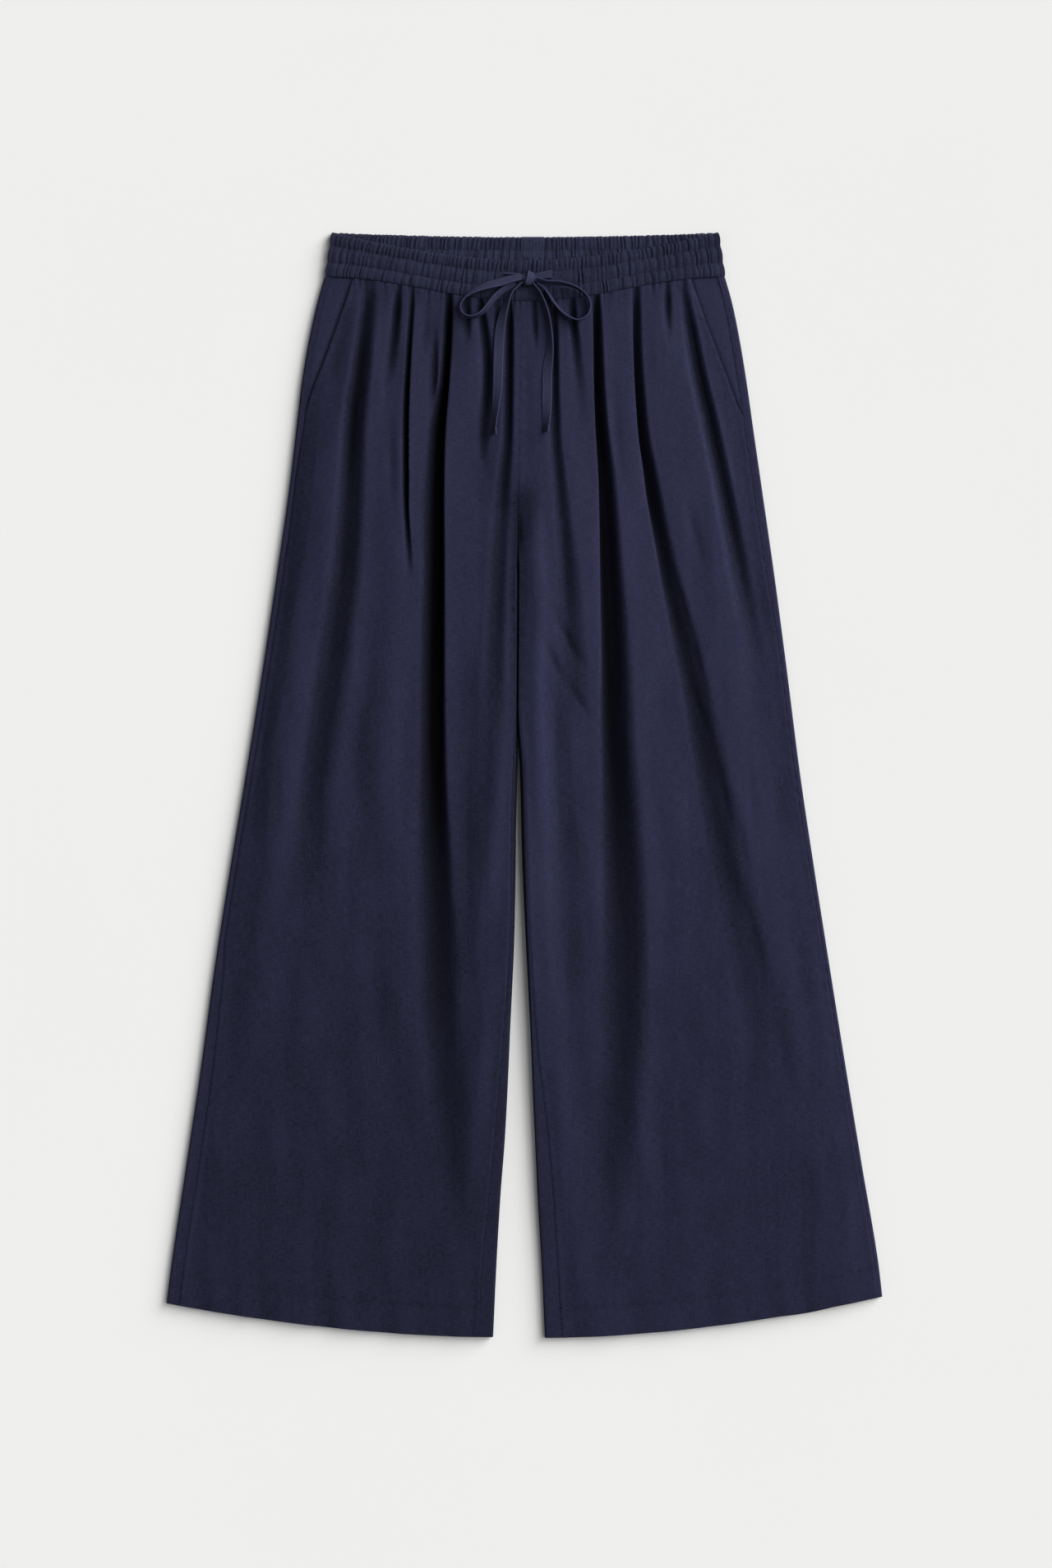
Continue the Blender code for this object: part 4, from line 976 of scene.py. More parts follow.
def band_face(top_edge, bottom_edge, creases, splits, patches, seed, base, puffiness, ripple):
    """Across, down, height and painted shade and highlight of a gathered face."""
    columns = np.linspace(-1.0, 1.0, BAND_COLUMNS)
    levels = band_levels()
    puff = channel_puff(levels)
    relief, depth = gather_relief(columns, levels, creases, splits, seed)
    half = WAIST_HALF_TOP + (WAIST_HALF_BOTTOM - WAIST_HALF_TOP) * levels[:, None]
    across = columns[None, :] * (half - STITCH_DRAW + STITCH_DRAW * puff[:, None])
    down = top_edge(across) + (bottom_edge(across) - top_edge(across)) * levels[:, None]
    calm = calm_share(patches, across, levels[:, None])
    relief = relief + (0.85 - relief) * calm
    depth = depth * (1 - calm)
    near_top = 1 - ease(levels[:, None] / 0.10)
    down = down + near_top * (0.8 - 0.8 * relief)
    strength = 0.60 + 0.40 * puff[:, None]
    fine = 0.10 * wave_field(seed + 3, across, down, 7, (1.6, 3.6), 9.0)
    height = base + puffiness * puff[:, None] + ripple * strength * (relief - 0.6) + fine
    tuck = 1 - ease((1.0 - levels[:, None]) / 0.03)
    roll = 1 - np.sqrt(np.clip(1 - (1 - levels[:, None] / 0.05).clip(0, 1) ** 2, 0, 1))
    height = height - 0.3 * tuck - 1.6 * roll
    stitched = hump(levels - CHANNELS[1], 0.02) + hump(levels - CHANNELS[2], 0.02)
    # Painted shade in the gathers' creases, along the lines of stitches and in the tuck at the
    # waist seam.
    dark = 0.45 * depth + 0.12 * stitched[:, None] * (1 - calm) + 0.08 * tuck
    # Painted highlight on the gathers' crests and along the band's turned top edge.
    pale = np.clip(relief - 0.62, 0.0, 0.6) * (1.1 + 0.5 * near_top) + 0.25 * near_top
    # A little paler overall and towards the right, as if lit from the right.
    pale = pale + 0.06 + 0.07 * across / WAIST_HALF_TOP
    return across, down, height, np.clip(dark, 0.0, 0.9) - pale * (1 - dark.clip(0, 1))


def band_points(across, down, height):
    """Points in metres from distances across, down and up."""
    return np.stack([across, LENGTH / 2 - down, height], axis=-1) * MM


def add_front_band():
    """The front half: gathered outside, plain underneath, dipping at the centre."""
    across, down, height, tone = band_face(
        front_top, lambda x: front_seam(x) - SEAM_GAP / 2, FRONT_CREASES, FRONT_SPLITS,
        FRONT_CALM, 51, FRONT_BAND_STITCH, FRONT_BAND_PUFF, 1.5)
    thin_end = FRONT_BAND_UNDER + 0.9
    height = thin_end + (height - thin_end) * end_turn(across)
    face = band_points(across, down, height)
    under = band_points(across, down, np.full(across.shape, FRONT_BAND_UNDER))
    # Painted shade in the buttonhole slits.
    for first, last, middle in SLITS:
        beyond = (first - across).clip(0) + (across - last).clip(0)
        tone = np.maximum(tone, 0.95 * hump(np.hypot(down - middle, beyond), 0.55))
    piece = add_wall("gathered_waistband_front", face, under, band_linen, tone, 4)
    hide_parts("waistband_front")
    return across, down, height


def add_back_band():
    """The back half: its gathered inner face upwards, its outer face on the floor."""
    across, down, height, tone = band_face(
        back_top, lambda x: back_seam(x) - SEAM_GAP / 2, BACK_CREASES, BACK_SPLITS,
        BACK_CALM, 77, BACK_BAND_STITCH, BACK_BAND_PUFF, 1.2)
    face = band_points(across, down, height)
    lift = (BACK_BAND_STITCH - BACK_BAND_END) * (1 - end_turn(across))
    relief, _ = gather_relief(np.linspace(-1, 1, BAND_COLUMNS), band_levels(), BACK_CREASES,
                              BACK_SPLITS, 78)
    valleys = 0.7 * (1 - relief.clip(0, 1))
    under = band_points(across, down, lift + valleys)
    piece = add_wall("gathered_waistband_back", face, under, band_linen, tone + 0.08, 2)
    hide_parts("waistband_back")
    return across, down, height


# ---- Fronts ------------------------------------------------------------------------------------


def fine_fractions(leg, share, seams):
    """Places of a front's columns across one row, somewhat closer together in the folds."""
    half_gap = SEAM_GAP / 2 / (seams[1] - seams[0])
    fractions = np.linspace(half_gap, mouth_fraction(leg, share) - half_gap, 401)
    down = row_down(leg, share, fractions)
    out = seams[0] + (seams[1] - seams[0]) * fractions
    crowding = np.ones(len(fractions))
    for knots in leg.folds.values():
        profile, depth = fold_profile(knots, out, down)
        crowding = crowding + np.sqrt(profile) * np.clip(depth, 0.0, 6.0) * 0.3
    total = np.concatenate([[0.0], np.cumsum((crowding[1:] + crowding[:-1]) / 2)])
    return np.interp(np.linspace(0.0, total[-1], FRONT_COLUMNS), total, fractions)


FAINT_RIPPLES = 34
RIPPLE_DEPTH = 1.5         # the ripples' depths are multiplied by this


def waist_puckers(leg, out, down):
    """Short dips under the waist seam, one below each crease of the band."""
    draw = np.random.default_rng(leg.seed)
    below = down - front_seam(out)
    relief = np.zeros(out.shape)
    for crease in FRONT_CREASES[:, 3] * WAIST_HALF_BOTTOM:
        depth = draw.uniform(0.2, 1.6)
        reach = draw.uniform(4.0, 20.0)
        half = draw.uniform(0.7, 1.7)
        drift = draw.normal(0.0, 0.05)
        offset = leg.sign * out - crease - drift * below
        dip = hump(offset, half * (1 + below.clip(0) / 22)) * np.exp(-below.clip(0) / reach)
        relief = relief - depth * dip
    return relief


def ripple_relief(leg, out, down):
    """Soft dents that the photograph shows, and faint ones between them."""
    draw = np.random.default_rng(leg.seed + 100)
    ripples = list(leg.ripples)
    for _ in range(FAINT_RIPPLES):
        start = draw.uniform(180, 850)
        across = draw.uniform(0.08, 0.92)
        end = start + draw.uniform(60, 190)
        width = edge_curve(OUTLINE, leg)
        slant = draw.normal(0.0, 6.0)
        ripples.append(Ripple(start, across * width(start), end, across * width(end) + slant,
                              draw.uniform(-0.22, 0.22), draw.uniform(3.5, 9.0)))
    relief = np.zeros(out.shape)
    for ripple in ripples:
        t = (down - ripple.down) / (ripple.down_end - ripple.down)
        middle = ripple.out + (ripple.out_end - ripple.out) * t
        depth = RIPPLE_DEPTH * ripple.depth
        relief = relief - depth * bell(2 * t - 1) * hump(out - middle, ripple.half)
    return relief


def seam_relief(leg, out, down, inner_edge, outer_edge):
    """The seams' raised allowances, their pulled edges and fine puckers, and the hem."""
    inner = out - inner_edge
    outer = outer_edge - out
    pucker = wave_field(leg.seed + 7, down, out, 5, (7.0, 16.0), 3.0)
    relief = np.zeros(out.shape)
    together = 1 - ease((down - 420.0) / 120.0)
    for edge, pulled in ((inner, 1 - 0.7 * together), (outer, 1.0)):
        ridge = 0.30 * hump(edge - 2.6, 1.7) - 0.35 * hump(edge, 0.7)
        relief = relief + ridge * pulled + 0.16 * pucker * hump(edge - 3.0, 5.0)
    above_hem = hem(leg, out) - down
    doubled = 0.22 * (1 - ease((above_hem - HEM_DEPTH) / 1.6))
    dimples = 0.20 * hump(above_hem - HEM_DEPTH, 1.3) * (1 + 0.7 * np.sin(out * 2 * math.pi / 9))
    waves = wave_field(leg.seed + 13, out, down, 4, (30.0, 75.0), 6.0)
    billow = 0.5 * waves * hump(above_hem, 34.0) * ease(inner / 15.0) * ease(outer / 15.0)
    return relief + doubled - dimples + billow


def local_mean(places, values, reach):
    """The mean of each row's values within the reach to both sides of each of its places."""
    means = np.zeros(values.shape)
    for row, (place_row, value_row) in enumerate(zip(places, values)):
        areas = np.diff(place_row) * (value_row[1:] + value_row[:-1]) / 2
        total = np.concatenate([[0.0], np.cumsum(areas)])
        low = np.clip(place_row - reach, place_row[0], place_row[-1])
        high = np.clip(place_row + reach, place_row[0], place_row[-1])
        sums = np.interp(high, place_row, total) - np.interp(low, place_row, total)
        means[row] = sums / np.maximum(high - low, 1e-6)
    return means


def front_shade_and_highlight(leg, out, down, height):
    """Painted shade (above 0) in a front's folds and hollows; painted highlight (below 0) on its
    ridges.
    """
    dark = np.zeros(out.shape)
    # Painted shade in the folds' troughs.
    for name, knots in leg.folds.items():
        profile, depth = fold_profile(knots, out, down, FOLD_WIDER)
        share = OPEN_SHARE if name in OPEN_FOLDS else 1.0
        amount = ramp(depth, 0.0, FULL_DARK_DEPTH) ** 0.7 * share
        dark = np.maximum(dark, profile ** 1.1 * amount)
    proud = height - local_mean(out, height, BROAD_REACH)
    crisp = height - local_mean(out, height, CRISP_REACH)
    # Painted highlight on proud places, on the upper front fading towards the hem, and along the
    # side.
    pale = 0.24 * ease((proud + 0.9) / 1.2) * (1 - between(down, PALE_FADES))
    pale = pale + 0.40 * ramp(proud, 0.15, 3.5) + 0.14 * ramp(crisp, 0.1, 1.1)
    pale = pale + RIM_HIGHLIGHT[leg.name] * (1 - ease((out[:, -1:] - out) / RIM_REACH))
    # Painted shade in sunk places and along the hem's blind stitches.
    sunk = 0.40 * ramp(-proud, 0.15, 5.0) + 0.35 * ramp(-crisp, 0.1, 1.1)
    sunk = sunk + HEM_LINE_SHADE * hump(hem(leg, out) - down - HEM_DEPTH, HEM_LINE_WIDTH)
    # Painted shade at the crotch.
    shade, aside = CROTCH_SHADE[leg.name]
    beside = (out - out[:, :1] - aside) / 4.0
    crotch = shade * hump(np.hypot(beside, (down - CROTCH_DOWN) / 24.0), 1.0)
    dark = np.clip(np.maximum(np.maximum(dark, sunk), crotch), 0.0, 1.0)
    # The left front is painted darker and the right paler, as if lit from the right.
    return dark - pale * (1 - dark) - SIDE_LIGHT_AND_SHADE * leg.sign


def front_surface(leg):
    """A front on its fine grid: out, down and height, and the points of its face and back."""
    t = np.linspace(0.0, 1.0, FRONT_ROWS)
    shares = t * (0.45 + 0.55 * t)
    fractions = np.array([fine_fractions(leg, share, row_seams(leg, share))
                          for share in shares])
    inner, side = row_seams(leg, shares[:, None])
    out = inner + (side - inner) * fractions
    down = row_down(leg, shares[:, None], fractions)
    inner_edge = out[:, :1]
    outer_edge = out[:, -1:]
    below = (down - front_seam(out)).clip(0)
    undulation = 0.40 * wave_field(leg.seed + 1, out, down, 7, (26.0, 80.0), 5.0)
    undulation = undulation + 0.05 * wave_field(leg.seed + 2, out, down, 8, (7.0, 16.0), 7.0)
    inside = ease((out - inner_edge) / 12.0) * ease((outer_edge - out) / 12.0)
    relief = undulation * inside * ease(below / 30.0)
    relief = relief + ripple_relief(leg, out, down) * inside
    relief = relief + inner_lift(down) * (1 - ease((out - inner_edge) / 42.0))
    relief = relief + waist_puckers(leg, out, down)
    relief = relief + seam_relief(leg, out, down, inner_edge, outer_edge)
    relief = relief - 0.18 * hump(below, 0.9)
    height = front_height(leg, out, down, inner_edge, outer_edge, relief)
    lean = front_lean(leg, out, down)
    sheared = out + lean * (height - ROLL_HEIGHT)
    step = np.gradient(out, axis=1)
    stretch = np.hypot(np.gradient(sheared, axis=1) / step, np.gradient(height, axis=1) / step)
    under = height - CLOTH * np.clip(stretch, 1.0, 2.2)
    under = np.maximum(under, CLOTH + SEAM_GAP)
    face = place(leg, sheared, down, height)
    back = place(leg, out + lean * (under - ROLL_HEIGHT), down, under)
    return out, down, height, face, back


def add_front(leg):
    """One front panel as a closed wall of fine cloth."""
    out, down, height, face, back = front_surface(leg)
    tone = front_shade_and_highlight(leg, out, down, height)
    piece = add_wall(f"linen_front_{leg.name}", face, back, panel_linen, tone, 2)
    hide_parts(f"front_panel_{leg.name}")
    return face


# ---- Backs and pocket facings ------------------------------------------------------------------


def curled_end(edge, rolled, offset, steps):
    """The last points of a back's face where its end is flat or only partly curled up."""
    middle_reach = ROLL_REACH - CLOTH / 2
    turned = math.pi * max(rolled, 0.001)
    length = FLAT_END + (math.pi * middle_reach - FLAT_END) * rolled
    bend = length / turned
    taller = 1 + ((ROLL_HEIGHT - CLOTH) / (2 * middle_reach) - 1) * rolled
    start = edge + math.sin(min(turned, math.pi / 2)) * (bend + CLOTH / 2)
    points = []
    for step in range(steps + 1):
        angle = turned * step / steps
        rise = CLOTH / 2 + bend * (1 - math.cos(angle)) * taller - offset * math.cos(angle)
        points.append((start - (bend + offset) * math.sin(angle), rise))
    return points


def rolled_section(leg, share, rolled):
    """A back's outer and inner face across one row, from the side lip to the inner lip."""
    spans, arc_steps, lip_steps = 36, 10, 4
    inner_down = row_down(leg, share, 0.0)
    side_down = row_down(leg, share, 1.0)
    middle = edge_curve(INNER_LEG, leg)(inner_down)
    inner_end = inner_seam(leg, inner_down) - SEAM_GAP / 2
    side_end = side_seam(leg, side_down) + SEAM_GAP / 2
    side_centre = edge_curve(OUTLINE, leg)(side_down) - ROLL_REACH
    inner_centre = middle + ROLL_REACH
    turns = np.radians(np.linspace(90.0, -90.0, arc_steps + 1))
    pressed = pressed_out(inner_down)
    under = 1.7 * (1 - legs_apart(inner_down))
    inner_height = ROLL_HEIGHT + inner_lift(inner_down) - under
    inner_end = max(inner_end, inner_centre + 0.15)

    def path(offset):
        reach = ROLL_REACH - CLOTH / 2 + offset
        rise = ROLL_HEIGHT / 2 - CLOTH / 2 + offset
        top = ROLL_HEIGHT / 2 + rise
        low = ROLL_HEIGHT / 2 - rise
        lip = [(side_end + (side_centre - side_end) * n / lip_steps, top)
               for n in range(lip_steps)]
        side_arc = [(side_centre + reach * math.cos(turn), ROLL_HEIGHT / 2 + rise * math.sin(turn))
                    for turn in turns]
        flat = [(side_centre + (inner_centre - side_centre) * n / spans, low)
                for n in range(1, spans)]
        if rolled > 0.99:
            inner_rise = inner_height / 2 - CLOTH / 2 + offset
            pushed = reach + pressed
            curl = [(inner_centre - pushed * math.cos(turn),
                     inner_height / 2 + inner_rise * math.sin(turn)) for turn in turns[::-1]]
            last = [(inner_centre + (inner_end - inner_centre) * n / lip_steps,
                     inner_height / 2 + inner_rise) for n in range(1, lip_steps + 1)]
        else:
            curl = curled_end(middle + SEAM_GAP / 2 - pressed, rolled, offset, arc_steps)
            curl = [(out, height * (1 - 0.25 * rolled)) for out, height in curl]
            tip = Vector(curl[-1])
            before = Vector(curl[-2])
            last = [tuple(tip + (tip - before) * 0.05 * n) for n in range(1, lip_steps + 1)]
        return np.array(lip + side_arc + flat + curl + last)

    return path(CLOTH / 2), path(-CLOTH / 2)


def add_back(leg):
    """One back panel: flat on the floor, rolled round the side and the inner leg."""
    faces = ([], [])
    shares = np.linspace(0.0, 1.0, BACK_ROWS)
    for share in shares:
        row = ROWS_FIRST + (ROWS_LAST - ROWS_FIRST) * share
        seams = row_seams(leg, share)
        rolled = float(ramp(row, INNER_ROLL[0], INNER_ROLL[1] - INNER_ROLL[0]))
        higher = 1 - ease(share / 0.2)
        for section, rows in zip(rolled_section(leg, share, rolled), faces):
            out = section[:, 0]
            down = row_down(leg, share, (out - seams[0]) / (seams[1] - seams[0]))
            down = down - (front_seam(out) - back_seam(out)) * higher
            longer = bell((out - BACK_HEM_OUT) / BACK_HEM_HALF) * between(share, (0.97, 1.0))
            down = down + BACK_HEM_SHOWS[leg.name] * longer
            rows.append(np.stack([out, down, section[:, 1]], axis=-1))
    outer = np.array(faces[0])
    inner = np.array(faces[1])
    pucker = wave_field(leg.seed + 9, outer[..., 1], outer[..., 0], 5, (8.0, 20.0), 3.0)
    on_top = ease((outer[..., 2] - ROLL_HEIGHT + 1.0) / 1.0)
    outer[..., 2] = outer[..., 2] + 0.14 * pucker * on_top
    face = place(leg, *np.moveaxis(outer, -1, 0))
    back = place(leg, *np.moveaxis(inner, -1, 0))
    # Painted shade along the inner leg edge below the crotch, where the legs press together;
    # painted highlight along the side.
    distance = outer[..., 0] - edge_curve(INNER_LEG, leg)(outer[..., 1])
    below_crotch = ease((outer[..., 1] - INNER_ROLL[1]) / 10.0)
    apart = between(outer[..., 1], (440.0, 600.0))
    dark = hump(distance.clip(0), 0.7) * below_crotch * (0.8 - 0.4 * apart)
    rim_near = hump(edge_curve(OUTLINE, leg)(outer[..., 1]) - outer[..., 0], 9.0)
    tone = dark - (SIDE_LIGHT_AND_SHADE * leg.sign + RIM_HIGHLIGHT[leg.name] * rim_near) * (1 - dark)
    piece = add_wall(f"linen_back_{leg.name}", face, back, panel_linen, tone, 1)
    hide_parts(f"back_panel_{leg.name}")


def add_facing(leg):
    """The hip piece behind the slanted mouth."""
    last = POCKET_MOUTH[-1].down + FACING_BEYOND
    last_share = (last - BAND_SIDE_HEIGHT) / (LENGTH - BAND_SIDE_HEIGHT)
    shares = np.linspace(0.0, last_share, 81)
    faces = ([], [])
    for share in shares:
        inner, side = row_seams(leg, share)
        width = side - inner
        start = mouth_fraction(leg, share) - FACING_UNDERLAP / width
        fraction = np.linspace(start, 1 - SEAM_GAP / 2 / width, 33)
        out = inner + width * fraction
        down = row_down(leg, share, fraction)
        height = mouth_height(out, down) - CLOTH - SEAM_GAP - 0.1
        bulge = 0.35 * bell((out - (out[0] + out[-1]) / 2 - 3.0) / (out[-1] - out[0]) * 2.6)
        height = height + bulge * ease(share / 0.02)
        faces[0].append(np.stack([out, down, height], axis=-1))
        faces[1].append(np.stack([out, down, height - bulge - CLOTH], axis=-1))
    face = np.array(faces[0])
    back = np.array(faces[1])
    # Painted shadow beside the mouth's edge, painted highlight over the rest of the facing.
    shadow = 1 - ease((face[..., 0] - face[:, :1, 0] - 4.0) / 6.0)
    tone = 0.5 * shadow - 0.45 * (1 - shadow) - SIDE_LIGHT_AND_SHADE * leg.sign
    piece = add_wall(f"pocket_facing_linen_{leg.name}", place(leg, *np.moveaxis(face, -1, 0)),
                     place(leg, *np.moveaxis(back, -1, 0)), panel_linen, tone, 2)
    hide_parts(f"pocket_facing_{leg.name}")


# ---- Drawstring --------------------------------------------------------------------------------

# Half of the tape's section, from its left edge over its stitched rims to the right edge, as
# shares of the half width and the half thickness.
TAPE_SECTION = [
    (-1.0, 0.0), (-0.96, 0.75), (-0.84, 1.0), (-0.66, 0.78), (-0.3, 0.92), (0.0, 0.96),
    (0.3, 0.92), (0.66, 0.78), (0.84, 1.0), (0.96, 0.75), (1.0, 0.0),
]
TAPE_STEPS = 8             # rings of the mesh for each station of the tape's course
TAPE_GIRTH = 0.022         # metres round the tape
# Painted highlight on the tape's rims; its face is made a little paler:
TAPE_RIM_HIGHLIGHT = -0.6
TAPE_TONE = -0.28
TIP_FOLD = 7.0             # the tape's end is folded over this far from it


def cloth_height(across, down):
    """Highest cloth of the model under a small patch round a place."""
    highest = 0.0
    for step_across in (-6.0, -3.0, 0.0, 3.0, 6.0):
        for step_down in (-4.0, 0.0, 4.0):
            here = across + step_across
            below = down + step_down
            if below < front_seam(here) + 2.0:
                highest = max(highest, BAND_TOP)
                continue
            leg = LEGS[0] if here < -5.8 else LEGS[1]
            inner_edge = inner_seam(leg, below)
            outer_edge = side_seam(leg, below)
            height = front_height(leg, leg.sign * here, below, inner_edge, outer_edge)
            highest = max(highest, float(height))
    return highest


def smooth_route(rows, steps_each):
    """Stations read off a smooth curve through the route's rows."""
    table = np.array(rows, float)
    ends = np.vstack([2 * table[0] - table[1], table, 2 * table[-1] - table[-2]])
    stations = []
    for index in range(1, len(ends) - 2):
        a, b, c, d = ends[index - 1:index + 3]
        for step in range(steps_each):
            t = step / steps_each
            point = (2 * b + (c - a) * t + (2 * a - 5 * b + 4 * c - d) * t * t
                     + (3 * b - a - 3 * c + d) * t ** 3) / 2
            stations.append(point)
    stations.append(table[-1])
    return np.array(stations)


def raised_to_mean(values, reach):
    """Values along a route, none below the mean of those within the reach."""
    kernel = np.ones(2 * reach + 1) / (2 * reach + 1)
    padded = np.pad(values, reach, mode="edge")
    return np.maximum(values, np.convolve(padded, kernel, mode="valid"))


def unit(vectors, least=0.0):
    """Rows of vectors made 1 long."""
    return vectors / np.maximum(np.linalg.norm(vectors, axis=1, keepdims=True), least)


def tape_frames(route, steps_each):
    """Centre, width and thickness directions and half width along a stretch of tape."""
    stations = smooth_route(route, steps_each)
    tilt = np.radians(stations[:, 3])
    half_width = stations[:, 4] / 2
    half_tall = half_width * np.abs(np.sin(tilt)) + TAPE_THICK / 2 * np.cos(tilt)
    cloth = np.array([cloth_height(row[0], row[1]) for row in stations])
    cloth = raised_to_mean(cloth, steps_each)
    centre = raised_to_mean(cloth + TAPE_CLEAR + half_tall + stations[:, 2], steps_each)
    points = np.stack([stations[:, 0], LENGTH / 2 - stations[:, 1], centre], axis=-1)
    along = unit(np.gradient(points, axis=0))
    level = unit(np.cross([0.0, 0.0, 1.0], along))
    normal = np.cross(along, level)
    cosine = np.cos(tilt)[:, None]
    sine = np.sin(tilt)[:, None]
    return points, level * cosine + normal * sine, normal * cosine - level * sine, half_width


def tape_mesh(points, width, thick, half_width, thickness):
    """Vertices, faces, cloth coordinates and tone of a swept tape with closed ends."""
    section = np.array(TAPE_SECTION + [(a, -b) for a, b in TAPE_SECTION[-2:0:-1]])
    sides = len(section)
    reach = section[None, :, 0, None] * half_width[:, None, None] * width[:, None, :]
    rise = section[None, :, 1, None] * thickness[:, None, None] * thick[:, None, :]
    rings = (points[:, None, :] + reach + rise) * MM
    count = len(points)
    faces = []
    for row in range(count - 1):
        for side in range(sides):
            following = (side + 1) % sides
            faces.append((row * sides + side, row * sides + following,
                          (row + 1) * sides + following, (row + 1) * sides + side))
    faces.append(tuple(range(sides))[::-1])
    faces.append(tuple((count - 1) * sides + side for side in range(sides)))
    length = np.concatenate([[0.0], np.cumsum(np.linalg.norm(np.diff(points, axis=0), axis=1))])
    girth = np.linspace(0.0, TAPE_GIRTH, sides)
    uv = np.stack(np.broadcast_arrays(girth[None, :], length[:, None] * MM), axis=-1)
    # The rims carry the painted highlight.
    rims = np.abs(section[:, 0]) > 0.8
    tone = np.broadcast_to(np.where(rims, TAPE_RIM_HIGHLIGHT, TAPE_TONE)[None, :], (count, sides))
    return rings.reshape(-1, 3), faces, uv.reshape(-1, 2), tone.ravel()


def add_tape(name, node, route, tip=False):
    """A stretch of the drawstring and its course; with a tip, its end is folded over."""
    points, width, thick, half_width = tape_frames(route, TAPE_STEPS)
    thickness = np.full(len(points), TAPE_THICK / 2)
    if tip:
        length = np.cumsum(np.linalg.norm(np.gradient(points, axis=0), axis=1))
        left = length[-1] - length
        thickness = thickness * (1 + 0.9 * (1 - ease((left - TIP_FOLD + 1.0) / 1.2)))
        half_width = half_width * (1 - 0.22 * hump(left - TIP_FOLD, 1.2))
    vertices, faces, uv, tone = tape_mesh(points, width, thick, half_width, thickness)
    if tip:
        # The tip is painted darker: a line of painted shade at the folded edge, and a darker folded
        # end.
        folded = hump(left - TIP_FOLD, 0.8) + 0.5 * (1 - ease((left - 5.5) / 1.5))
        tone = tone + np.repeat(0.7 * folded, len(tone) // len(points))
    piece = add_piece(name, vertices, faces, tape_linen, uv, tone, sharp=70.0)
    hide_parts(node)
    return piece, points * MM


def add_knot():
    """The bow's knot: a narrow wrap of the tape round the crossing strands."""
    draw = np.random.default_rng(3)
    parts = []
    top = BAND_TOP + TAPE_CLEAR

    def strand(route, thickness, steps=10):
        """One short strand through given points: across, down, height, half width, turn."""
        rows = smooth_route(route, steps)
        points = np.stack([rows[:, 0], LENGTH / 2 - rows[:, 1], rows[:, 2]], axis=-1)
        along = unit(np.gradient(points, axis=0))
        outward = points - np.array([KNOT_ACROSS, LENGTH / 2 - KNOT_DOWN, top + 3.4])
        outward = unit(outward - along * np.sum(outward * along, axis=1, keepdims=True), 1e-6)
        width = np.cross(along, outward)
        wobble = 1 + 0.05 * np.sin(np.arange(len(rows)) * 0.16 + draw.uniform(0, 6))
        parts.append(tape_mesh(points, width, outward, rows[:, 3] * wobble,
                               np.full(len(rows), thickness / 2)))

    wrap = []
    for step in range(13):
        angle = math.radians(-150 + step * 300 / 12)
        wrap.append((4.4 + 1.3 * math.sin(angle), KNOT_DOWN + 0.4 - 6.0 * math.sin(angle),
                     top + 3.2 + 3.6 * math.cos(angle), 2.5 + 1.3 * max(math.cos(angle), 0.0)))
    strand(wrap, 1.5)
    lobe = []
    for step in range(9):
        angle = math.radians(-130 + step * 260 / 8)
        lobe.append((-1.4 + 0.5 * math.cos(angle), KNOT_DOWN + 2.2 - 3.6 * math.sin(angle),
                     top + 2.2 + 2.3 * math.cos(angle), 2.6))
    strand(lobe, 1.4)
    strand([(-9.0, 46.0, top + 1.6, 1.6), (-4.5, 45.8, top + 2.5, 2.3),
            (0.0, 45.4, top + 3.2, 2.9), (4.4, 45.2, top + 3.5, 3.3),
            (8.6, 45.6, top + 2.9, 2.6), (13.0, 46.6, top + 1.8, 1.7)], 3.0, 6)
    faces = []
    count = 0
    for vertices, part_faces, _, _ in parts:
        faces += [tuple(index + count for index in face) for face in part_faces]
        count += len(vertices)
    vertices, _, uv, tone = zip(*parts)
    piece = add_piece("bow_knot", np.concatenate(vertices), faces, tape_linen,
                      np.concatenate(uv), np.concatenate(tone), sharp=70.0)
    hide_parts("drawstring_knot")
    return piece


# ---- Stitches ----------------------------------------------------------------------------------


def stitch_group():
    """Node group that lays stitches along edges, with named inputs."""
    group = bpy.data.node_groups.new("stitch_row", "GeometryNodeTree")
    ports = group.interface
    ports.new_socket("Geometry", in_out="INPUT", socket_type="NodeSocketGeometry")
    for name in ("Pitch", "Stitch Length", "Thread Width"):
        ports.new_socket(name, in_out="INPUT", socket_type="NodeSocketFloat")
    ports.new_socket("Thread", in_out="INPUT", socket_type="NodeSocketMaterial")
    ports.new_socket("Geometry", in_out="OUTPUT", socket_type="NodeSocketGeometry")
    given = add_node(group, "NodeGroupInput").outputs
    curve = add_node(group, "GeometryNodeMeshToCurve", [given["Geometry"]])
    spaced = add_node(group, "GeometryNodeResampleCurve",
                      {"Curve": curve, "Length": given["Pitch"]}, mode="LENGTH")
    ball = add_node(group, "GeometryNodeMeshUVSphere", {"Segments": 6, "Rings": 4, "Radius": 0.5})
    size = add_node(group, "ShaderNodeCombineXYZ",
                    [given["Stitch Length"], given["Thread Width"], given["Thread Width"]])
    shaped = add_node(group, "GeometryNodeTransform", {"Geometry": ball, "Scale": size})
    tangent = add_node(group, "GeometryNodeInputTangent")
    turned = add_node(group, "FunctionNodeAlignRotationToVector", {"Vector": tangent}, axis="X")
    spread = add_node(group, "GeometryNodeInstanceOnPoints",
                      {"Points": spaced, "Instance": shaped, "Rotation": turned})
    real = add_node(group, "GeometryNodeRealizeInstances", [spread])
    dressed = add_node(group, "GeometryNodeSetMaterial",
                       {"Geometry": real, "Material": given["Thread"]})
    smooth = add_node(group, "GeometryNodeSetShadeSmooth", [dressed])
    add_node(group, "NodeGroupOutput", [smooth])
    return group


STITCHES = stitch_group()


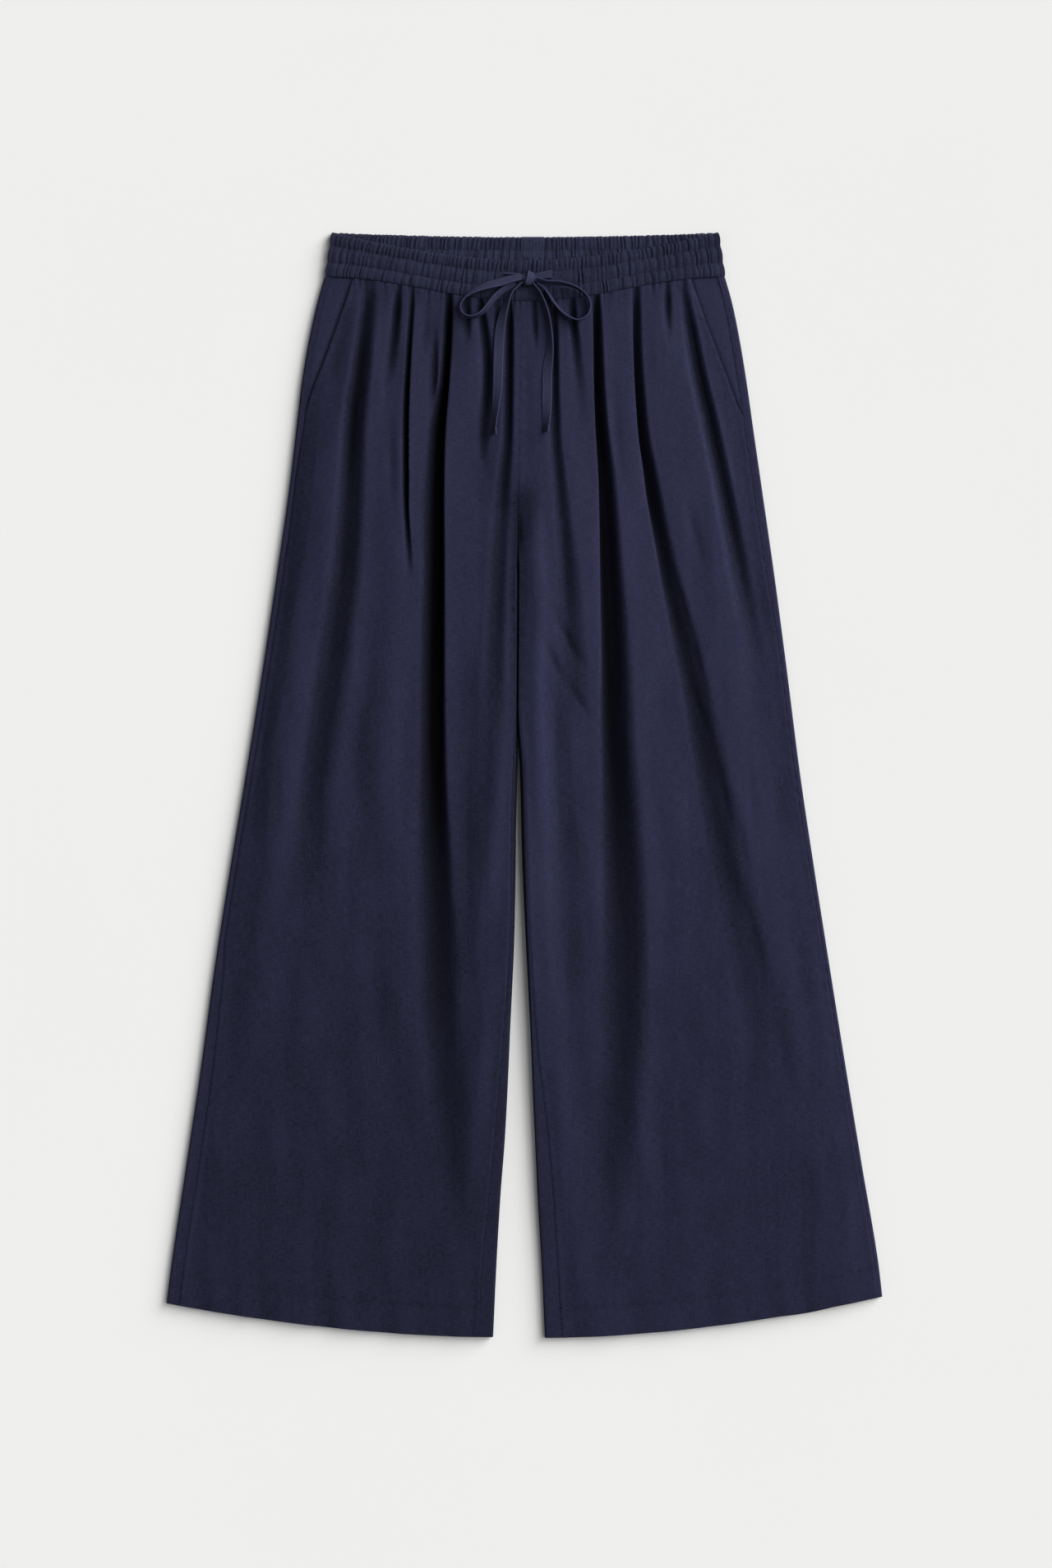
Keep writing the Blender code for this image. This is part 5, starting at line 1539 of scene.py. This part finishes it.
def add_stitches(name, lines, pitch, length, width):
    """Rows of stitches along lines of points in metres, as one plain mesh."""
    vertices = []
    edges = []
    for line in lines:
        first = len(vertices)
        vertices += [tuple(point) for point in line]
        edges += [(first + n, first + n + 1) for n in range(len(line) - 1)]
    mesh = bpy.data.meshes.new(name + "_lines")
    mesh.from_pydata(vertices, edges, [])
    guide = add_object(name + "_lines", mesh)
    modifier = guide.modifiers.new("stitches", "NODES")
    modifier.node_group = STITCHES
    values = {"Pitch": pitch, "Stitch Length": length, "Thread Width": width, "Thread": thread}
    for item in STITCHES.interface.items_tree:
        if item.in_out == "INPUT" and item.name in values:
            modifier[item.identifier] = values[item.name]
    graph = bpy.context.evaluated_depsgraph_get()
    plain = bpy.data.meshes.new_from_object(guide.evaluated_get(graph))
    guide.modifiers.remove(modifier)
    bpy.data.objects.remove(guide)
    plain.name = name
    piece = add_object(name, plain)
    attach(piece, "root")


THREAD_LIFT = 0.12         # how far over the band a row of stitches runs
EDGE_LIFT = 0.10           # the same round the buttonholes and beside the pocket mouths
MOUTH_STITCHED = 0.176     # metres below the top of the waist where the mouth's stitches end


def band_line(grids, level):
    """A line across a band at one level, just over its face."""
    across, down, height = grids
    levels = band_levels()
    row = int(np.argmin(np.abs(levels - level)))
    keep = np.abs(across[row]) < WAIST_HALF_TOP - 4
    return band_points(across[row], down[row], height[row] + THREAD_LIFT)[keep]


def slit_ring(grids, first, last, middle):
    """The oval of stitches round a buttonhole, just over the band's face."""
    across, down, height = grids
    turns = np.linspace(0.0, 2 * math.pi, 49)
    x = (first + last) / 2 + ((last - first) / 2 + 0.9) * np.cos(turns)
    y = middle + 1.25 * np.sin(turns)
    nearest = [int(np.argmin((across - a) ** 2 + (down - b) ** 2)) for a, b in zip(x, y)]
    return band_points(x, y, height.ravel()[nearest] + EDGE_LIFT)


def mouth_line(face):
    """The line of stitches beside a pocket mouth, just over the front's face."""
    last = int(np.searchsorted(LENGTH / 2 * MM - face[:, -1, 1], MOUTH_STITCHED))
    points = face[2:last, FRONT_COLUMNS - 2].copy()
    points[:, 2] = points[:, 2] + EDGE_LIFT * MM
    return points


# ---- The garment -------------------------------------------------------------------------------

loop_left = add_tape("bow_loop_left", "drawstring_loop_left", LOOP_LEFT)
loop_right = add_tape("bow_loop_right", "drawstring_loop_right", LOOP_RIGHT)
tail_left = add_tape("tape_tail_left", "drawstring_tail_left", TAIL_LEFT, tip=True)
tail_right = add_tape("tape_tail_right", "drawstring_tail_right", TAIL_RIGHT, tip=True)
lead_left, _ = add_tape("tape_lead_left", "drawstring_lead_left", LEAD_LEFT)
lead_right, _ = add_tape("tape_lead_right", "drawstring_lead_right", LEAD_RIGHT)
knot = add_knot()

front_band = add_front_band()
back_band = add_back_band()
front_faces = {leg.name: add_front(leg) for leg in LEGS}
for leg in LEGS:
    add_back(leg)
    add_facing(leg)

# Rows of stitches: their pitch, stitch length and thread width are in metres.
band_rows = [band_line(band, level) for band in (front_band, back_band) for level in CHANNELS[1:3]]
add_stitches("channel_stitches", band_rows, 0.0026, 0.0019, 0.0003)
rings = [slit_ring(front_band, *slit) for slit in SLITS]
add_stitches("buttonhole_stitches", rings, 0.0007, 0.0008, 0.0007)
mouth_rows = [mouth_line(face) for face in front_faces.values()]
add_stitches("pocket_stitches", mouth_rows, 0.0027, 0.0020, 0.0003)
